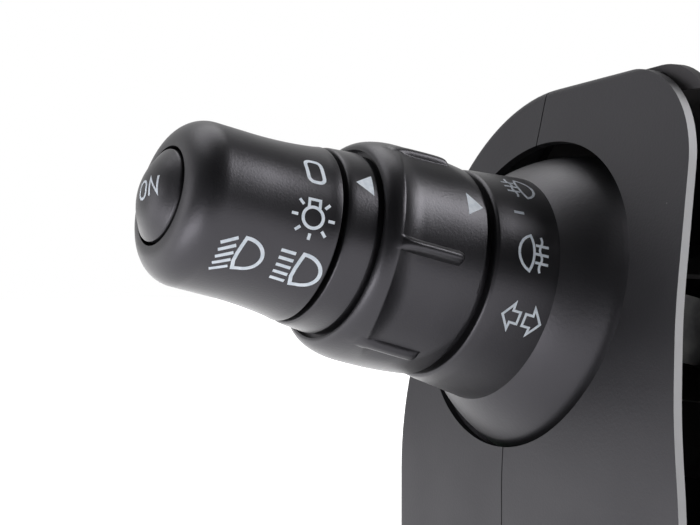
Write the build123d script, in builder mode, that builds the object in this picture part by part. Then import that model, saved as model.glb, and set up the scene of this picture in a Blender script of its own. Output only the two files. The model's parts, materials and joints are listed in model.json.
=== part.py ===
from build123d import *
from math import cos, pi, radians, sin, sqrt
import os

# Combination stalk switch: the left-hand stalk of a steering column, with its half of the housing.
# Millimetres. +Z is up, -Y points at the driver, -X is the way the stalk points.
# The origin is on the steering column's axis, which lies along Y, level with the stalk's axis.

# ---- driving dimensions: the stalk -------------------------------------------------
TILT = 13.5               # the stalk rises this many degrees towards its tip
PIVOT = 49.5              # gimbal centre, measured along the stalk from the column axis
NOSE = 132.7              # plane of the button's hole in the end knob

KNOB_RADIUS = 15.0        # end knob at its wide end
KNOB_WAIST = 13.85
KNOB_LENGTH = 24.6
NOSE_ARC = 5.6            # roll of the knob's nose
BUTTON_BORE = 8.35
BUTTON_RADIUS = 7.75

COLLAR_RADIUS = 15.76     # index collar between the knob and the ring
COLLAR_LENGTH = 5.1
KNOB_GAP = 0.9

DRUM_RADIUS = 14.93       # the core's drum, on which the fog ring turns
DRUM_BORE = 12.9
TUBE_RADIUS = 6.5         # the core's inner tube
TUBE_BORE = 4.5
RUNNING_FIT = 0.07        # radial clearance of every turning fit

RING_LENGTH = 19.4
PANEL_MIDDLES = (2.5, 182.5)     # middle rib of each sunken grip panel, degrees from the driver's side
RIB_TURNS = (-60.0, 0.0, 65.0)   # the ribs of one panel, counted from its middle rib
RIB_WIDTH = 2.6
RIB_CREST = 1.3

BASE_RADIUS = 20.2        # base collar where it meets the dome
BASE_TIP_RADIUS = 18.7
BASE_SPIGOT_RADIUS = 16.6    # the neck between base collar and ring
BASE_LENGTH = 11.8
BASE_WALL = 2.0
DOME_CENTRE = 48.0
DOME_RADIUS = 28.64
DOME_WALL = 1.8

# ---- driving dimensions: the housing -------------------------------------------------
WALL = 1.6
HOLE_WIDE, HOLE_HIGH = 29.2, 28.1    # half axes of the opening for the dome
HOLE_OFFSET = (0.2, 0.85)            # its middle stands off the stalk axis, driverward and upward
CHEEK = 61.0              # cheek's outer face on the stalk axis, measured from the column axis
CHEEK_BEND_Z = 0.0        # height where the leaning cheek starts to turn upright
CHEEK_BEND_RADIUS = 84.0
# the front edge (Y, Z): upright below the first point, bowed up to the last, straight above it
FRONT_LINE = [(-50.3, -21.0), (-49.5, -13.3), (-47.8, -5.7), (-45.8, 1.9), (-43.8, 9.7), (-41.8, 20.8)]
FRONT_SLANT = 0.151       # the straight stretch leans back this much per millimetre of height
BACK_Y = 34.0
CROWN_Y = -24.2           # the crown line passes here ...
CROWN_Z = 54.45           # ... at this height
CROWN_SLOPE = 4.4
BOTTOM_Z = -50.0
NOSE_CORNER = 21.0
BACK_CORNER = 33.5
FOOT_CORNER = 5.0
SEAM_TOP_Y = 5.0          # parting line above the stalk
SEAM_LOW_Y = -1.9         # parting line below the stalk
COVER_X = -36.0           # the side cover ends here
BODY_RIGHT_X = 36.0

# ---- driving dimensions: the column clamp ---------------------------------------------
COLUMN_RADIUS = 21.0
SLEEVE_RADIUS = 24.0
SLEEVE_BACK_Y = 40.0

# ---- frame of the stalk ----------------------------------------------------------------
LEAN = radians(TILT)
OUTWARD = Vector(-cos(LEAN), 0, sin(LEAN))
UPWARD = Vector(sin(LEAN), 0, cos(LEAN))
DRIVERWARD = Vector(0, -1, 0)
STALK_AXIS = Axis((0, 0, 0), OUTWARD)

# stations along the stalk, measured outward from the column axis
KNOB_END = NOSE - KNOB_LENGTH
COLLAR_OUT = KNOB_END - KNOB_GAP
COLLAR_IN = COLLAR_OUT - COLLAR_LENGTH
RING_OUT = COLLAR_IN - 0.8
RING_IN = RING_OUT - RING_LENGTH
BASE_IN = DOME_CENTRE + sqrt(DOME_RADIUS ** 2 - BASE_RADIUS ** 2)
BASE_OUT = BASE_IN + BASE_LENGTH
DRUM_OUT = COLLAR_IN + 1.5


def radial_plane(angle):
    """Half-plane through the stalk axis: x is the radius, y runs outward along the stalk.

    The angle is counted from the driver's side (0) towards the top (90)."""
    turn = radians(angle)
    radius_way = DRIVERWARD * cos(turn) + UPWARD * sin(turn)
    return Plane(origin=(0, 0, 0), x_dir=radius_way, z_dir=radius_way.cross(OUTWARD))


def cross_plane(station):
    """Plane across the stalk: x points at the driver, y points up."""
    return Plane(origin=OUTWARD * station, x_dir=DRIVERWARD, z_dir=OUTWARD)


SECTION = radial_plane(0)


def turned(outline):
    """Solid of revolution about the stalk axis from a closed outline of (radius, station) points."""
    with BuildPart() as solid:
        with BuildSketch(SECTION):
            with BuildLine():
                Polyline(*outline, close=True)
            make_face()
        revolve(axis=STALK_AXIS)
    return solid


def tube(inner, outer, low, high):
    """Closed outline of a plain tube for turned()."""
    return [(inner, low), (outer, low), (outer, high), (inner, high)]


def rims(builder, radius):
    """Round edges of one radius."""
    return builder.edges().filter_by(GeomType.CIRCLE).filter_by(lambda edge: abs(edge.radius - radius) < 0.01)


os.makedirs("parts", exist_ok=True)


def save(builder, name):
    builder.part.label = name
    export_step(builder.part, f"parts/{name}.step")


# ==== the end knob and its push button ======================================================

NOSE_CENTRE_RADIUS = KNOB_WAIST - NOSE_ARC
NOSE_CENTRE = NOSE - 4.7
NOSE_ROOF = NOSE - 6.5
KNOB_CAVITY = 12.0
WAIST_END = NOSE - 11.2

with BuildPart() as end_knob:
    with BuildSketch(SECTION):
        with BuildLine():
            bore_top = NOSE_CENTRE + sqrt(NOSE_ARC ** 2 - (NOSE_CENTRE_RADIUS - BUTTON_BORE) ** 2)
            shoulder = (NOSE_CENTRE_RADIUS + NOSE_ARC * sin(radians(45)),
                        NOSE_CENTRE + NOSE_ARC * cos(radians(45)))
            ThreePointArc((BUTTON_BORE, bore_top), shoulder, (KNOB_WAIST, NOSE_CENTRE))
            Line((KNOB_WAIST, NOSE_CENTRE), (KNOB_WAIST, WAIST_END))
            TangentArc((KNOB_WAIST, WAIST_END), (KNOB_RADIUS, KNOB_END), tangent=(0, -1))
            Polyline((KNOB_RADIUS, KNOB_END), (KNOB_CAVITY, KNOB_END), (KNOB_CAVITY, NOSE_ROOF),
                     (BUTTON_BORE, NOSE_ROOF), (BUTTON_BORE, bore_top))
        make_face()
    revolve(axis=STALK_AXIS)
    fillet(rims(end_knob, KNOB_RADIUS), 0.5)
save(end_knob, "end_knob")

# The knob's drum is pressed into the knob: a flange with the detent track, a rim and the drive shaft.
DRUM_FLANGE = KNOB_END + 0.8
DRUM_WEB = DRUM_FLANGE + 3.6
DRUM_TOP = DRUM_FLANGE + 7.4
SHAFT_RADIUS = TUBE_BORE - RUNNING_FIT
SHAFT_BORE = 2.6
SHAFT_END = 78.0
BALL_RADIUS = 1.5
BALL_PITCH = 9.3          # radius of the detent track
BALL_STATION = DRUM_FLANGE - 0.7
INDEX_ANGLE = 35.0        # where the index mark stands
KNOB_STEP = 33.0          # angle between two knob settings

with BuildPart() as knob_drum:
    with BuildSketch(SECTION):
        with BuildLine():
            Polyline((SHAFT_BORE, SHAFT_END), (SHAFT_RADIUS, SHAFT_END), (SHAFT_RADIUS, DRUM_WEB),
                     (7.2, DRUM_WEB), (7.2, DRUM_FLANGE), (KNOB_CAVITY, DRUM_FLANGE), (KNOB_CAVITY, DRUM_TOP),
                     (10.4, DRUM_TOP), (10.4, DRUM_WEB + 1.8), (SHAFT_BORE, DRUM_WEB + 1.8), close=True)
        make_face()
    revolve(axis=STALK_AXIS)
    with BuildSketch(SECTION):
        with Locations((BALL_PITCH, DRUM_FLANGE - 0.75)):
            Circle(BALL_RADIUS + 0.4)
    revolve(axis=STALK_AXIS, mode=Mode.SUBTRACT)
    for setting in range(3):
        angle = radians(INDEX_ANGLE - setting * KNOB_STEP)
        notch = cross_plane(DRUM_FLANGE + 0.4).from_local_coords(
            Vector(BALL_PITCH * cos(angle), BALL_PITCH * sin(angle), 0))
        with Locations(notch):
            Sphere(BALL_RADIUS + 0.65, mode=Mode.SUBTRACT)
save(knob_drum, "knob_drum")

# Wiper that the knob's shaft carries against the tracks of the stalk board.
with BuildPart() as knob_wiper:
    with BuildSketch(SECTION):
        with BuildLine():
            Polyline(*tube(SHAFT_BORE, SHAFT_RADIUS, SHAFT_END - 2.0, SHAFT_END), close=True)
        make_face()
    revolve(axis=STALK_AXIS)
    with BuildSketch(cross_plane(SHAFT_END - 2.0)):
        Rectangle(1.4, 2 * SHAFT_RADIUS)
    extrude(amount=0.8, mode=Mode.SUBTRACT)
save(knob_wiper, "knob_wiper")

BUTTON_TOP = NOSE + 4.1
BUTTON_EDGE = NOSE + 1.0
BUTTON_STOP = NOSE_ROOF - 0.3
BUTTON_FLANGE = 9.4
BUTTON_SKIRT = BUTTON_STOP - 3.0
STEM_RADIUS = 1.6
STEM_SOCKET = 2.6

with BuildPart() as auto_button:
    with BuildSketch(SECTION):
        with BuildLine():
            rise = BUTTON_TOP - BUTTON_EDGE
            dome_radius = (BUTTON_RADIUS ** 2 + rise ** 2) / (2 * rise)
            mid = (BUTTON_RADIUS / 2,
                   BUTTON_TOP - dome_radius + sqrt(dome_radius ** 2 - (BUTTON_RADIUS / 2) ** 2))
            ThreePointArc((0, BUTTON_TOP), mid, (BUTTON_RADIUS, BUTTON_EDGE))
            Polyline((BUTTON_RADIUS, BUTTON_EDGE), (BUTTON_RADIUS, BUTTON_STOP), (BUTTON_FLANGE, BUTTON_STOP),
                     (BUTTON_FLANGE, BUTTON_STOP - 1.4), (BUTTON_RADIUS, BUTTON_STOP - 1.4),
                     (BUTTON_RADIUS, BUTTON_SKIRT), (5.8, BUTTON_SKIRT), (5.8, BUTTON_EDGE - 1.2),
                     (STEM_SOCKET, BUTTON_EDGE - 1.2), (STEM_SOCKET, BUTTON_SKIRT + 1.5),
                     (STEM_RADIUS, BUTTON_SKIRT + 1.5), (STEM_RADIUS, BUTTON_EDGE - 2.0),
                     (0, BUTTON_EDGE - 2.0), (0, BUTTON_TOP))
        make_face()
    revolve(axis=STALK_AXIS)
    fillet(rims(auto_button, BUTTON_RADIUS).sort_by(STALK_AXIS)[-1], 0.5)
save(auto_button, "auto_button")

STEM_END = 84.0
button_stem = turned([(0, STEM_END), (STEM_RADIUS, STEM_END),
                      (STEM_RADIUS, BUTTON_EDGE - 2.0), (0, BUTTON_EDGE - 2.0)])
save(button_stem, "button_stem")


def coil(radius, wire, low, high, turns, centre_angle=0.0, offset=0.0):
    """Round-wire compression spring along the stalk, between two stations."""
    turn = radians(centre_angle)
    foot = cross_plane(low + wire).from_local_coords(Vector(offset * cos(turn), offset * sin(turn), 0))
    rise = high - low - 2 * wire
    with BuildPart() as spring:
        with BuildLine():
            path = Helix(pitch=rise / turns, height=rise, radius=radius, center=foot, direction=OUTWARD)
        with BuildSketch(Plane(origin=path @ 0, z_dir=path % 0)):
            RegularPolygon(wire, 6)
        sweep(path=path)
    return spring


button_spring = coil(4.1, 0.35, DRUM_WEB + 1.9, BUTTON_EDGE - 1.4, 5)
save(button_spring, "button_spring")

# ==== the fog ring ==========================================================================

RING_BORE = DRUM_RADIUS + RUNNING_FIT
SEAT_RADIUS = 15.55       # the ring bears on the index collar up to here
LIP_BORE = 16.45
LIP_GROOVE = RING_OUT - 1.2
RIB_END = RING_OUT - 14.9
PANEL_SHIFT = 2.5         # a panel's floor is turned about an axis this far behind the stalk's
PANEL_TURN = 58.0


def grip_rib(angle):
    """One rib of the fog ring, narrowed towards its crest."""
    side = radial_plane(angle)
    with BuildPart() as rib:
        with BuildSketch(side):
            with BuildLine():
                Polyline((16.8, RIB_END), (19.2, RIB_END), (19.7, RIB_END + 0.8), (19.75, RIB_END + 3.5),
                         (19.4, RIB_END + 9.0), (18.6, RIB_END + 11.8), (16.8, RIB_END + 11.8), close=True)
            make_face()
        extrude(amount=RIB_WIDTH / 2, both=True)
        with BuildSketch(Plane(OUTWARD * (RIB_END - 1), x_dir=side.x_dir, z_dir=OUTWARD)):
            with BuildLine():
                Polyline((16, RIB_WIDTH / 2), (17.6, RIB_WIDTH / 2), (20, RIB_CREST / 2),
                         (20, -RIB_CREST / 2), (17.6, -RIB_WIDTH / 2), (16, -RIB_WIDTH / 2), close=True)
            make_face()
        extrude(amount=14, mode=Mode.INTERSECT)
    return rib.part


with BuildPart() as fog_ring:
    with BuildSketch(SECTION):
        with BuildLine():
            lip_top = (16.75, RING_OUT)
            lip_foot = (18.6, RING_OUT - 2.7)
            end = (18.55, RING_IN)
            ThreePointArc(lip_top, (17.95, RING_OUT - 1.05), lip_foot)
            ThreePointArc(lip_foot, (19.13, RING_OUT - 9.8), end)
            Polyline(end, (RING_BORE, RING_IN), (RING_BORE, COLLAR_IN - 0.1), (SEAT_RADIUS, COLLAR_IN - 0.1),
                     (SEAT_RADIUS, LIP_GROOVE), (LIP_BORE, LIP_GROOVE), (LIP_BORE, RING_OUT), lip_top)
        make_face()
    revolve(axis=STALK_AXIS)
    for middle in PANEL_MIDDLES:
        start = radial_plane(middle - PANEL_TURN)
        panel_axis = Axis(radial_plane(middle).x_dir * -PANEL_SHIFT, OUTWARD)
        with BuildSketch(Plane(panel_axis.position, x_dir=start.x_dir, z_dir=start.z_dir)):
            with BuildLine():
                shoulder = (19.2 + PANEL_SHIFT, RING_OUT - 1.6)
                waist = (17.5 + PANEL_SHIFT, RING_OUT - 6.4)
                ThreePointArc(shoulder, (18.0 + PANEL_SHIFT, RING_OUT - 3.7), waist)
                Polyline(waist, (18.0 + PANEL_SHIFT, RING_IN - 0.5), (25, RING_IN - 0.5),
                         (25, RING_OUT - 1.6), shoulder)
            make_face()
        revolve(axis=panel_axis, revolution_arc=2 * PANEL_TURN, mode=Mode.SUBTRACT)
        for turn in RIB_TURNS:
            add(grip_rib(middle + turn))
save(fog_ring, "fog_ring")

# ==== the lever: core, collars, dome and gimbal hub ===========================================

CORE_WEB_LOW = 65.0
CORE_WEB_HIGH = 69.0
NECK_RADIUS = 7.5
NECK_LOW = 56.0
HUB_PIN_STATION = 59.0
HUB_PIN_RADIUS = 1.0
DOME_TOP_PLATE = BASE_IN - DOME_WALL

with BuildPart() as stalk_core:
    with BuildSketch(SECTION):
        with BuildLine():
            Polyline((3.0, NECK_LOW), (NECK_RADIUS, NECK_LOW), (NECK_RADIUS, CORE_WEB_LOW),
                     (16.4, CORE_WEB_LOW), (16.4, DOME_TOP_PLATE), (DRUM_RADIUS, DOME_TOP_PLATE),
                     (DRUM_RADIUS, DRUM_OUT), (DRUM_BORE, DRUM_OUT), (DRUM_BORE, CORE_WEB_HIGH),
                     (TUBE_RADIUS, CORE_WEB_HIGH), (TUBE_RADIUS, COLLAR_OUT), (TUBE_BORE, COLLAR_OUT),
                     (TUBE_BORE, 74.0), (3.0, 74.0), close=True)
        make_face()
    revolve(axis=STALK_AXIS)
    with BuildSketch(Plane(origin=OUTWARD * HUB_PIN_STATION, x_dir=OUTWARD, z_dir=DRIVERWARD)):
        Circle(HUB_PIN_RADIUS)
    extrude(amount=10, both=True, mode=Mode.SUBTRACT)
save(stalk_core, "stalk_core")

with BuildPart() as index_collar:
    with BuildSketch(SECTION):
        with BuildLine():
            Polyline((TUBE_RADIUS + 0.05, DRUM_OUT), (DRUM_RADIUS, DRUM_OUT), (DRUM_RADIUS + 0.02, COLLAR_IN),
                     (COLLAR_RADIUS, COLLAR_IN), (COLLAR_RADIUS - 0.5, COLLAR_OUT),
                     (TUBE_RADIUS + 0.05, COLLAR_OUT), close=True)
        make_face()
    revolve(axis=STALK_AXIS)
    fillet(rims(index_collar, COLLAR_RADIUS - 0.5), 0.45)
    index = radians(INDEX_ANGLE)
    with BuildSketch(cross_plane(COLLAR_OUT)):
        with Locations((BALL_PITCH * cos(index), BALL_PITCH * sin(index))):
            Circle(BALL_RADIUS + 0.05)
    extrude(amount=-3.2, mode=Mode.SUBTRACT)
save(index_collar, "index_collar")

BALL_CENTRE = cross_plane(BALL_STATION).from_local_coords(
    Vector(BALL_PITCH * cos(index), BALL_PITCH * sin(index), 0))
with BuildPart() as detent_ball:
    with Locations(BALL_CENTRE):
        Sphere(BALL_RADIUS)
save(detent_ball, "detent_ball")

detent_spring = coil(1.0, 0.22, COLLAR_OUT - 3.15, BALL_STATION - BALL_RADIUS - 0.05, 4,
                     INDEX_ANGLE, BALL_PITCH)
save(detent_spring, "detent_spring")

with BuildPart() as base_collar:
    with BuildSketch(SECTION):
        with BuildLine():
            Polyline((DRUM_RADIUS + 0.02, BASE_OUT + 0.9), (BASE_SPIGOT_RADIUS, BASE_OUT + 0.9),
                     (BASE_SPIGOT_RADIUS, BASE_OUT),
                     (BASE_TIP_RADIUS, BASE_OUT), (BASE_RADIUS, BASE_IN), (BASE_RADIUS - BASE_WALL, BASE_IN),
                     (BASE_TIP_RADIUS - BASE_WALL, BASE_OUT - 2.6), (DRUM_RADIUS + 0.02, BASE_OUT - 2.6),
                      close=True)
        make_face()
    revolve(axis=STALK_AXIS)
    fillet(rims(base_collar, BASE_TIP_RADIUS), 0.7)
save(base_collar, "base_collar")

with BuildPart() as dome_shield:
    with BuildSketch(SECTION):
        with BuildLine():
            skirt = PIVOT + 2.0
            skirt_rise = skirt - DOME_CENTRE
            inner = DOME_RADIUS - DOME_WALL
            outer_skirt = (sqrt(DOME_RADIUS ** 2 - skirt_rise ** 2), skirt)
            inner_skirt = (sqrt(inner ** 2 - skirt_rise ** 2), skirt)
            outer_mid = (DOME_RADIUS * cos(radians(25)), DOME_CENTRE + DOME_RADIUS * sin(radians(25)))
            inner_mid = (inner * cos(radians(25)), DOME_CENTRE + inner * sin(radians(25)))
            inner_top = (sqrt(inner ** 2 - (DOME_TOP_PLATE - DOME_CENTRE) ** 2), DOME_TOP_PLATE)
            ThreePointArc(outer_skirt, outer_mid, (BASE_RADIUS, BASE_IN))
            Polyline((BASE_RADIUS, BASE_IN), (DRUM_RADIUS, BASE_IN), (DRUM_RADIUS, DOME_TOP_PLATE), inner_top)
            ThreePointArc(inner_top, inner_mid, inner_skirt)
            Line(inner_skirt, outer_skirt)
        make_face()
    revolve(axis=STALK_AXIS)
save(dome_shield, "dome_shield")

HUB_RADIUS = 7.0
HUB_LOW = 43.5
SPIGOT = 2.95
SPIGOT_HIGH = 62.0
TAIL_RADIUS = 4.0
TAIL_LOW = 36.0
PIN_RADIUS = 2.0
PIN_FIT = 0.05
PLUNGER_RADIUS = 2.2

with BuildPart() as lever_hub:
    with BuildSketch(SECTION):
        with BuildLine():
            Polyline((0, 42.5), (PLUNGER_RADIUS + PIN_FIT, 42.5), (PLUNGER_RADIUS + PIN_FIT, TAIL_LOW),
                     (TAIL_RADIUS, TAIL_LOW), (TAIL_RADIUS, HUB_LOW), (HUB_RADIUS, HUB_LOW),
                     (HUB_RADIUS, NECK_LOW), (SPIGOT, NECK_LOW), (SPIGOT, SPIGOT_HIGH), (0, SPIGOT_HIGH),
                     close=True)
        make_face()
    revolve(axis=STALK_AXIS)
    with BuildSketch(Plane(origin=OUTWARD * PIVOT - UPWARD * 10, x_dir=DRIVERWARD, z_dir=UPWARD)):
        Circle(PIN_RADIUS + PIN_FIT)
    extrude(amount=20, mode=Mode.SUBTRACT)
    with BuildSketch(Plane(origin=OUTWARD * HUB_PIN_STATION, x_dir=OUTWARD, z_dir=DRIVERWARD)):
        Circle(HUB_PIN_RADIUS)
    extrude(amount=10, both=True, mode=Mode.SUBTRACT)
save(lever_hub, "lever_hub")

# A roll pin through the neck holds the hub's spigot.
with BuildPart() as hub_pin:
    with BuildSketch(Plane(origin=OUTWARD * HUB_PIN_STATION, x_dir=OUTWARD, z_dir=DRIVERWARD)):
        Circle(HUB_PIN_RADIUS)
        Circle(0.5, mode=Mode.SUBTRACT)
    extrude(amount=7.2, both=True)
save(hub_pin, "hub_pin")

# Board inside the drum with the tracks that the wipers read, and the button's switch at its foot.
with BuildPart() as stalk_board:
    with BuildSketch(Plane(origin=OUTWARD * CORE_WEB_HIGH - UPWARD * 8.6, x_dir=DRIVERWARD, z_dir=UPWARD)):
        with Locations((0, -15)):
            Rectangle(15.0, 30.0)
    extrude(amount=1.2)
save(stalk_board, "stalk_board")

push_switch = turned([(0, 74.0), (3.8, 74.0), (3.8, 75.4), (1.2, 75.4), (1.2, 75.8), (0, 75.8)])
save(push_switch, "push_switch")

# ==== the gimbal ==============================================================================

GIMBAL_HALF = 12.5
WINDOW_HALF = 8.8
GIMBAL_DEPTH = 8.0
EAR_NEAR = 13.0
EAR_FAR = 16.8
EAR_RADIUS = 6.0

with BuildPart() as gimbal_ring:
    with BuildSketch(cross_plane(PIVOT - GIMBAL_DEPTH / 2)):
        RectangleRounded(2 * GIMBAL_HALF, 2 * GIMBAL_HALF, 3.0)
        RectangleRounded(2 * WINDOW_HALF, 2 * WINDOW_HALF, 2.0, mode=Mode.SUBTRACT)
    extrude(amount=GIMBAL_DEPTH)
    with BuildSketch(Plane(origin=OUTWARD * PIVOT - UPWARD * 15, x_dir=DRIVERWARD, z_dir=UPWARD)):
        Circle(PIN_RADIUS)
    extrude(amount=30, mode=Mode.SUBTRACT)
    with BuildSketch(Plane(origin=OUTWARD * PIVOT - DRIVERWARD * 15, x_dir=UPWARD, z_dir=DRIVERWARD)):
        Circle(PIN_RADIUS)
    extrude(amount=30, mode=Mode.SUBTRACT)
save(gimbal_ring, "gimbal_ring")

with BuildPart() as flash_pin:
    with BuildSketch(Plane(origin=OUTWARD * PIVOT - UPWARD * GIMBAL_HALF, x_dir=DRIVERWARD, z_dir=UPWARD)):
        Circle(PIN_RADIUS)
    extrude(amount=2 * GIMBAL_HALF)
save(flash_pin, "flash_pin")

# Torsion spring on the flash pin, between the hub and the gimbal's upper wall.
with BuildPart() as flash_spring:
    with BuildLine():
        spring_path = Helix(pitch=0.8, height=1.0, radius=2.75, center=OUTWARD * PIVOT + UPWARD * 7.4,
                            direction=UPWARD)
    with BuildSketch(Plane(origin=spring_path @ 0, z_dir=spring_path % 0)):
        RegularPolygon(0.35, 6)
    sweep(path=spring_path)
save(flash_spring, "flash_spring")

with BuildPart() as turn_pins:
    for side in (-1, 1):
        way = DRIVERWARD * side
        with BuildSketch(Plane(origin=OUTWARD * PIVOT + way * (WINDOW_HALF + 0.4), x_dir=UPWARD, z_dir=way)):
            Circle(PIN_RADIUS)
        extrude(amount=EAR_FAR - WINDOW_HALF - 0.4)
save(turn_pins, "turn_pins")

# Finger on the gimbal that the cancelling ring's cam works against: a post, a bar and the tip.
FINGER_WIDTH = 3.0
FINGER_Y = 9.9            # above the stalk axis, across it
FINGER_X = 27.0           # towards the driver, clear of the bracket
with BuildPart() as cancel_finger:
    with BuildSketch(cross_plane(PIVOT - GIMBAL_DEPTH / 2)):
        with Locations((10.5, FINGER_Y)):
            Rectangle(4.0, FINGER_WIDTH)
    extrude(amount=-5.5)
    with BuildSketch(cross_plane(40.0)):
        with Locations(((8.5 + FINGER_X + 1.5) / 2, FINGER_Y)):
            Rectangle(FINGER_X + 1.5 - 8.5, FINGER_WIDTH)
    extrude(amount=3.5)
    with BuildSketch(cross_plane(40.0)):
        with Locations((FINGER_X, FINGER_Y)):
            Rectangle(FINGER_WIDTH, FINGER_WIDTH)
    extrude(amount=-10.5)
save(cancel_finger, "cancel_finger")

PLATE_LOW = 28.6
PLATE_HIGH = 31.0
PLATE_HALF = EAR_FAR + 6.6
SCREW_X = EAR_FAR + 3.4
SCREW_Y = 8.5
SCREW_PLACES = [(side * SCREW_X, up * SCREW_Y) for side in (-1, 1) for up in (-1, 1)]
DETENT_TIP = 33.0         # plunger's tip at rest
DETENT_GAP = 0.3

with BuildPart() as gimbal_bracket:
    with BuildSketch(cross_plane(PLATE_LOW)):
        RectangleRounded(2 * PLATE_HALF, 24.0, 2.5)
        with Locations(*SCREW_PLACES):
            Circle(1.6, mode=Mode.SUBTRACT)
    extrude(amount=PLATE_HIGH - PLATE_LOW)
    for side in (-1, 1):
        way = DRIVERWARD * side
        with BuildSketch(Plane(origin=way * EAR_NEAR, x_dir=OUTWARD, z_dir=way)):
            with Locations((PIVOT, 0)):
                Circle(EAR_RADIUS)
            with Locations(((PLATE_LOW + PIVOT) / 2, 0)):
                Rectangle(PIVOT - PLATE_LOW, 2 * EAR_RADIUS)
            with Locations((PIVOT, 0)):
                Circle(PIN_RADIUS + PIN_FIT, mode=Mode.SUBTRACT)
        extrude(amount=EAR_FAR - EAR_NEAR)
save(gimbal_bracket, "gimbal_bracket")

with BuildPart() as bracket_screws:
    for place in SCREW_PLACES:
        with BuildSketch(cross_plane(PLATE_HIGH)):
            with Locations(place):
                Circle(2.7)
        extrude(amount=1.9)
        with BuildSketch(cross_plane(PLATE_HIGH)):
            with Locations(place):
                Circle(1.25)
        extrude(amount=-7.5)
save(bracket_screws, "bracket_screws")

with BuildPart() as detent_block:
    with BuildSketch(cross_plane(PLATE_HIGH)):
        Rectangle(11.0, 15.0)
    extrude(amount=4.6)
    with Locations(OUTWARD * PIVOT):
        Sphere(PIVOT - DETENT_TIP + DETENT_GAP, mode=Mode.SUBTRACT)
save(detent_block, "detent_block")

with BuildPart() as turn_plunger:
    with BuildSketch(SECTION):
        with BuildLine():
            ThreePointArc((0, DETENT_TIP),
                          (PLUNGER_RADIUS * sin(pi / 4), DETENT_TIP + PLUNGER_RADIUS * (1 - cos(pi / 4))),
                          (PLUNGER_RADIUS, DETENT_TIP + PLUNGER_RADIUS))
            Polyline((PLUNGER_RADIUS, DETENT_TIP + PLUNGER_RADIUS), (PLUNGER_RADIUS, 39.5), (0, 39.5),
                     (0, DETENT_TIP))
        make_face()
    revolve(axis=STALK_AXIS)
save(turn_plunger, "turn_plunger")

plunger_spring = coil(1.6, 0.25, 39.55, 42.45, 3)
save(plunger_spring, "plunger_spring")

# ==== the housing =============================================================================

FAR = 90.0                # past every face of the housing
SEAM_GAP = 0.25
CROWN_FRONT_NOTCH_Y = -8.0   # in front of this the body's roof takes over from the cover's crown

# the body's roof
ROOF_RISE = -1.75         # it lies lower than the cover's crown
FIN_RISE = -0.2           # the fin at its left end stands higher than the roof
ROOF_CORNER = 13.0
ROOF_X = -47.4            # it overhangs the cover up to here
VISOR_LOW_Z = 49.5        # the overhang's front corner ends at this height


def tangent_of(degrees):
    return sin(radians(degrees)) / cos(radians(degrees))


def crown_z(y, raise_by=0.0):
    """Height of the crown line over the Y axis."""
    return CROWN_Z + raise_by - (y - CROWN_Y) * tangent_of(CROWN_SLOPE)


def side_blank(inset=0.0, raise_by=0.0):
    """Side view (Y, Z) of the housing before its front edge is trimmed: crown, back and foot."""
    with BuildSketch() as face:
        with BuildLine():
            Polyline((-FAR, BOTTOM_Z), (-FAR, crown_z(-FAR, raise_by)), (BACK_Y, crown_z(BACK_Y, raise_by)),
                     (BACK_Y, BOTTOM_Z), close=True)
        make_face()
        back = face.vertices().group_by(Axis.X)[-1].sort_by(Axis.Y)
        fillet(back[1], BACK_CORNER)
        fillet(face.vertices().group_by(Axis.X)[-1].sort_by(Axis.Y)[0], FOOT_CORNER)
        if inset:
            offset(amount=-inset, mode=Mode.REPLACE)
    return face.sketch


def front_trim(raise_by=0.0, corner_radius=NOSE_CORNER):
    """Side view of everything behind the front edge, which is rolled into the crown at the top."""
    foot = FRONT_LINE[0]
    bend = FRONT_LINE[-1]
    fall = tangent_of(CROWN_SLOPE)
    corner_y = (bend[0] + (crown_z(0, raise_by) - bend[1]) * FRONT_SLANT) / (1 + fall * FRONT_SLANT)
    corner = (corner_y, crown_z(corner_y, raise_by))
    with BuildSketch() as face:
        with BuildLine():
            Spline(*FRONT_LINE, tangents=[(0, 1), (FRONT_SLANT, 1)])
            Polyline(bend, corner, (FAR, crown_z(FAR, raise_by)), (FAR, BOTTOM_Z - 5),
                     (foot[0], BOTTOM_Z - 5), foot)
        make_face()
        fillet(face.vertices().sort_by_distance((corner[0], corner[1], 0))[0], corner_radius)
    return face.sketch


def cheek_region(inset=0.0, right=COVER_X):
    """Front view (X, Z) of everything to the right of the cheek: upright low down, leaning above the bend."""
    surface = OUTWARD * CHEEK
    bend = (surface.X + (CHEEK_BEND_Z - surface.Z) * tangent_of(TILT), CHEEK_BEND_Z)
    centre = (bend[0] + CHEEK_BEND_RADIUS * cos(LEAN), bend[1] - CHEEK_BEND_RADIUS * sin(LEAN))
    radius = CHEEK_BEND_RADIUS - inset
    low = (centre[0] - radius, centre[1])
    mid = (centre[0] - radius * cos(LEAN / 2), centre[1] + radius * sin(LEAN / 2))
    high = (centre[0] - radius * cos(LEAN), centre[1] + radius * sin(LEAN))
    top = (high[0] + (FAR - high[1]) * tangent_of(TILT), FAR)
    with BuildSketch() as face:
        with BuildLine():
            ThreePointArc(low, mid, high)
            Polyline(high, top, (right, FAR), (right, -FAR), (low[0], -FAR), low)
        make_face()
    return face.sketch


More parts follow.
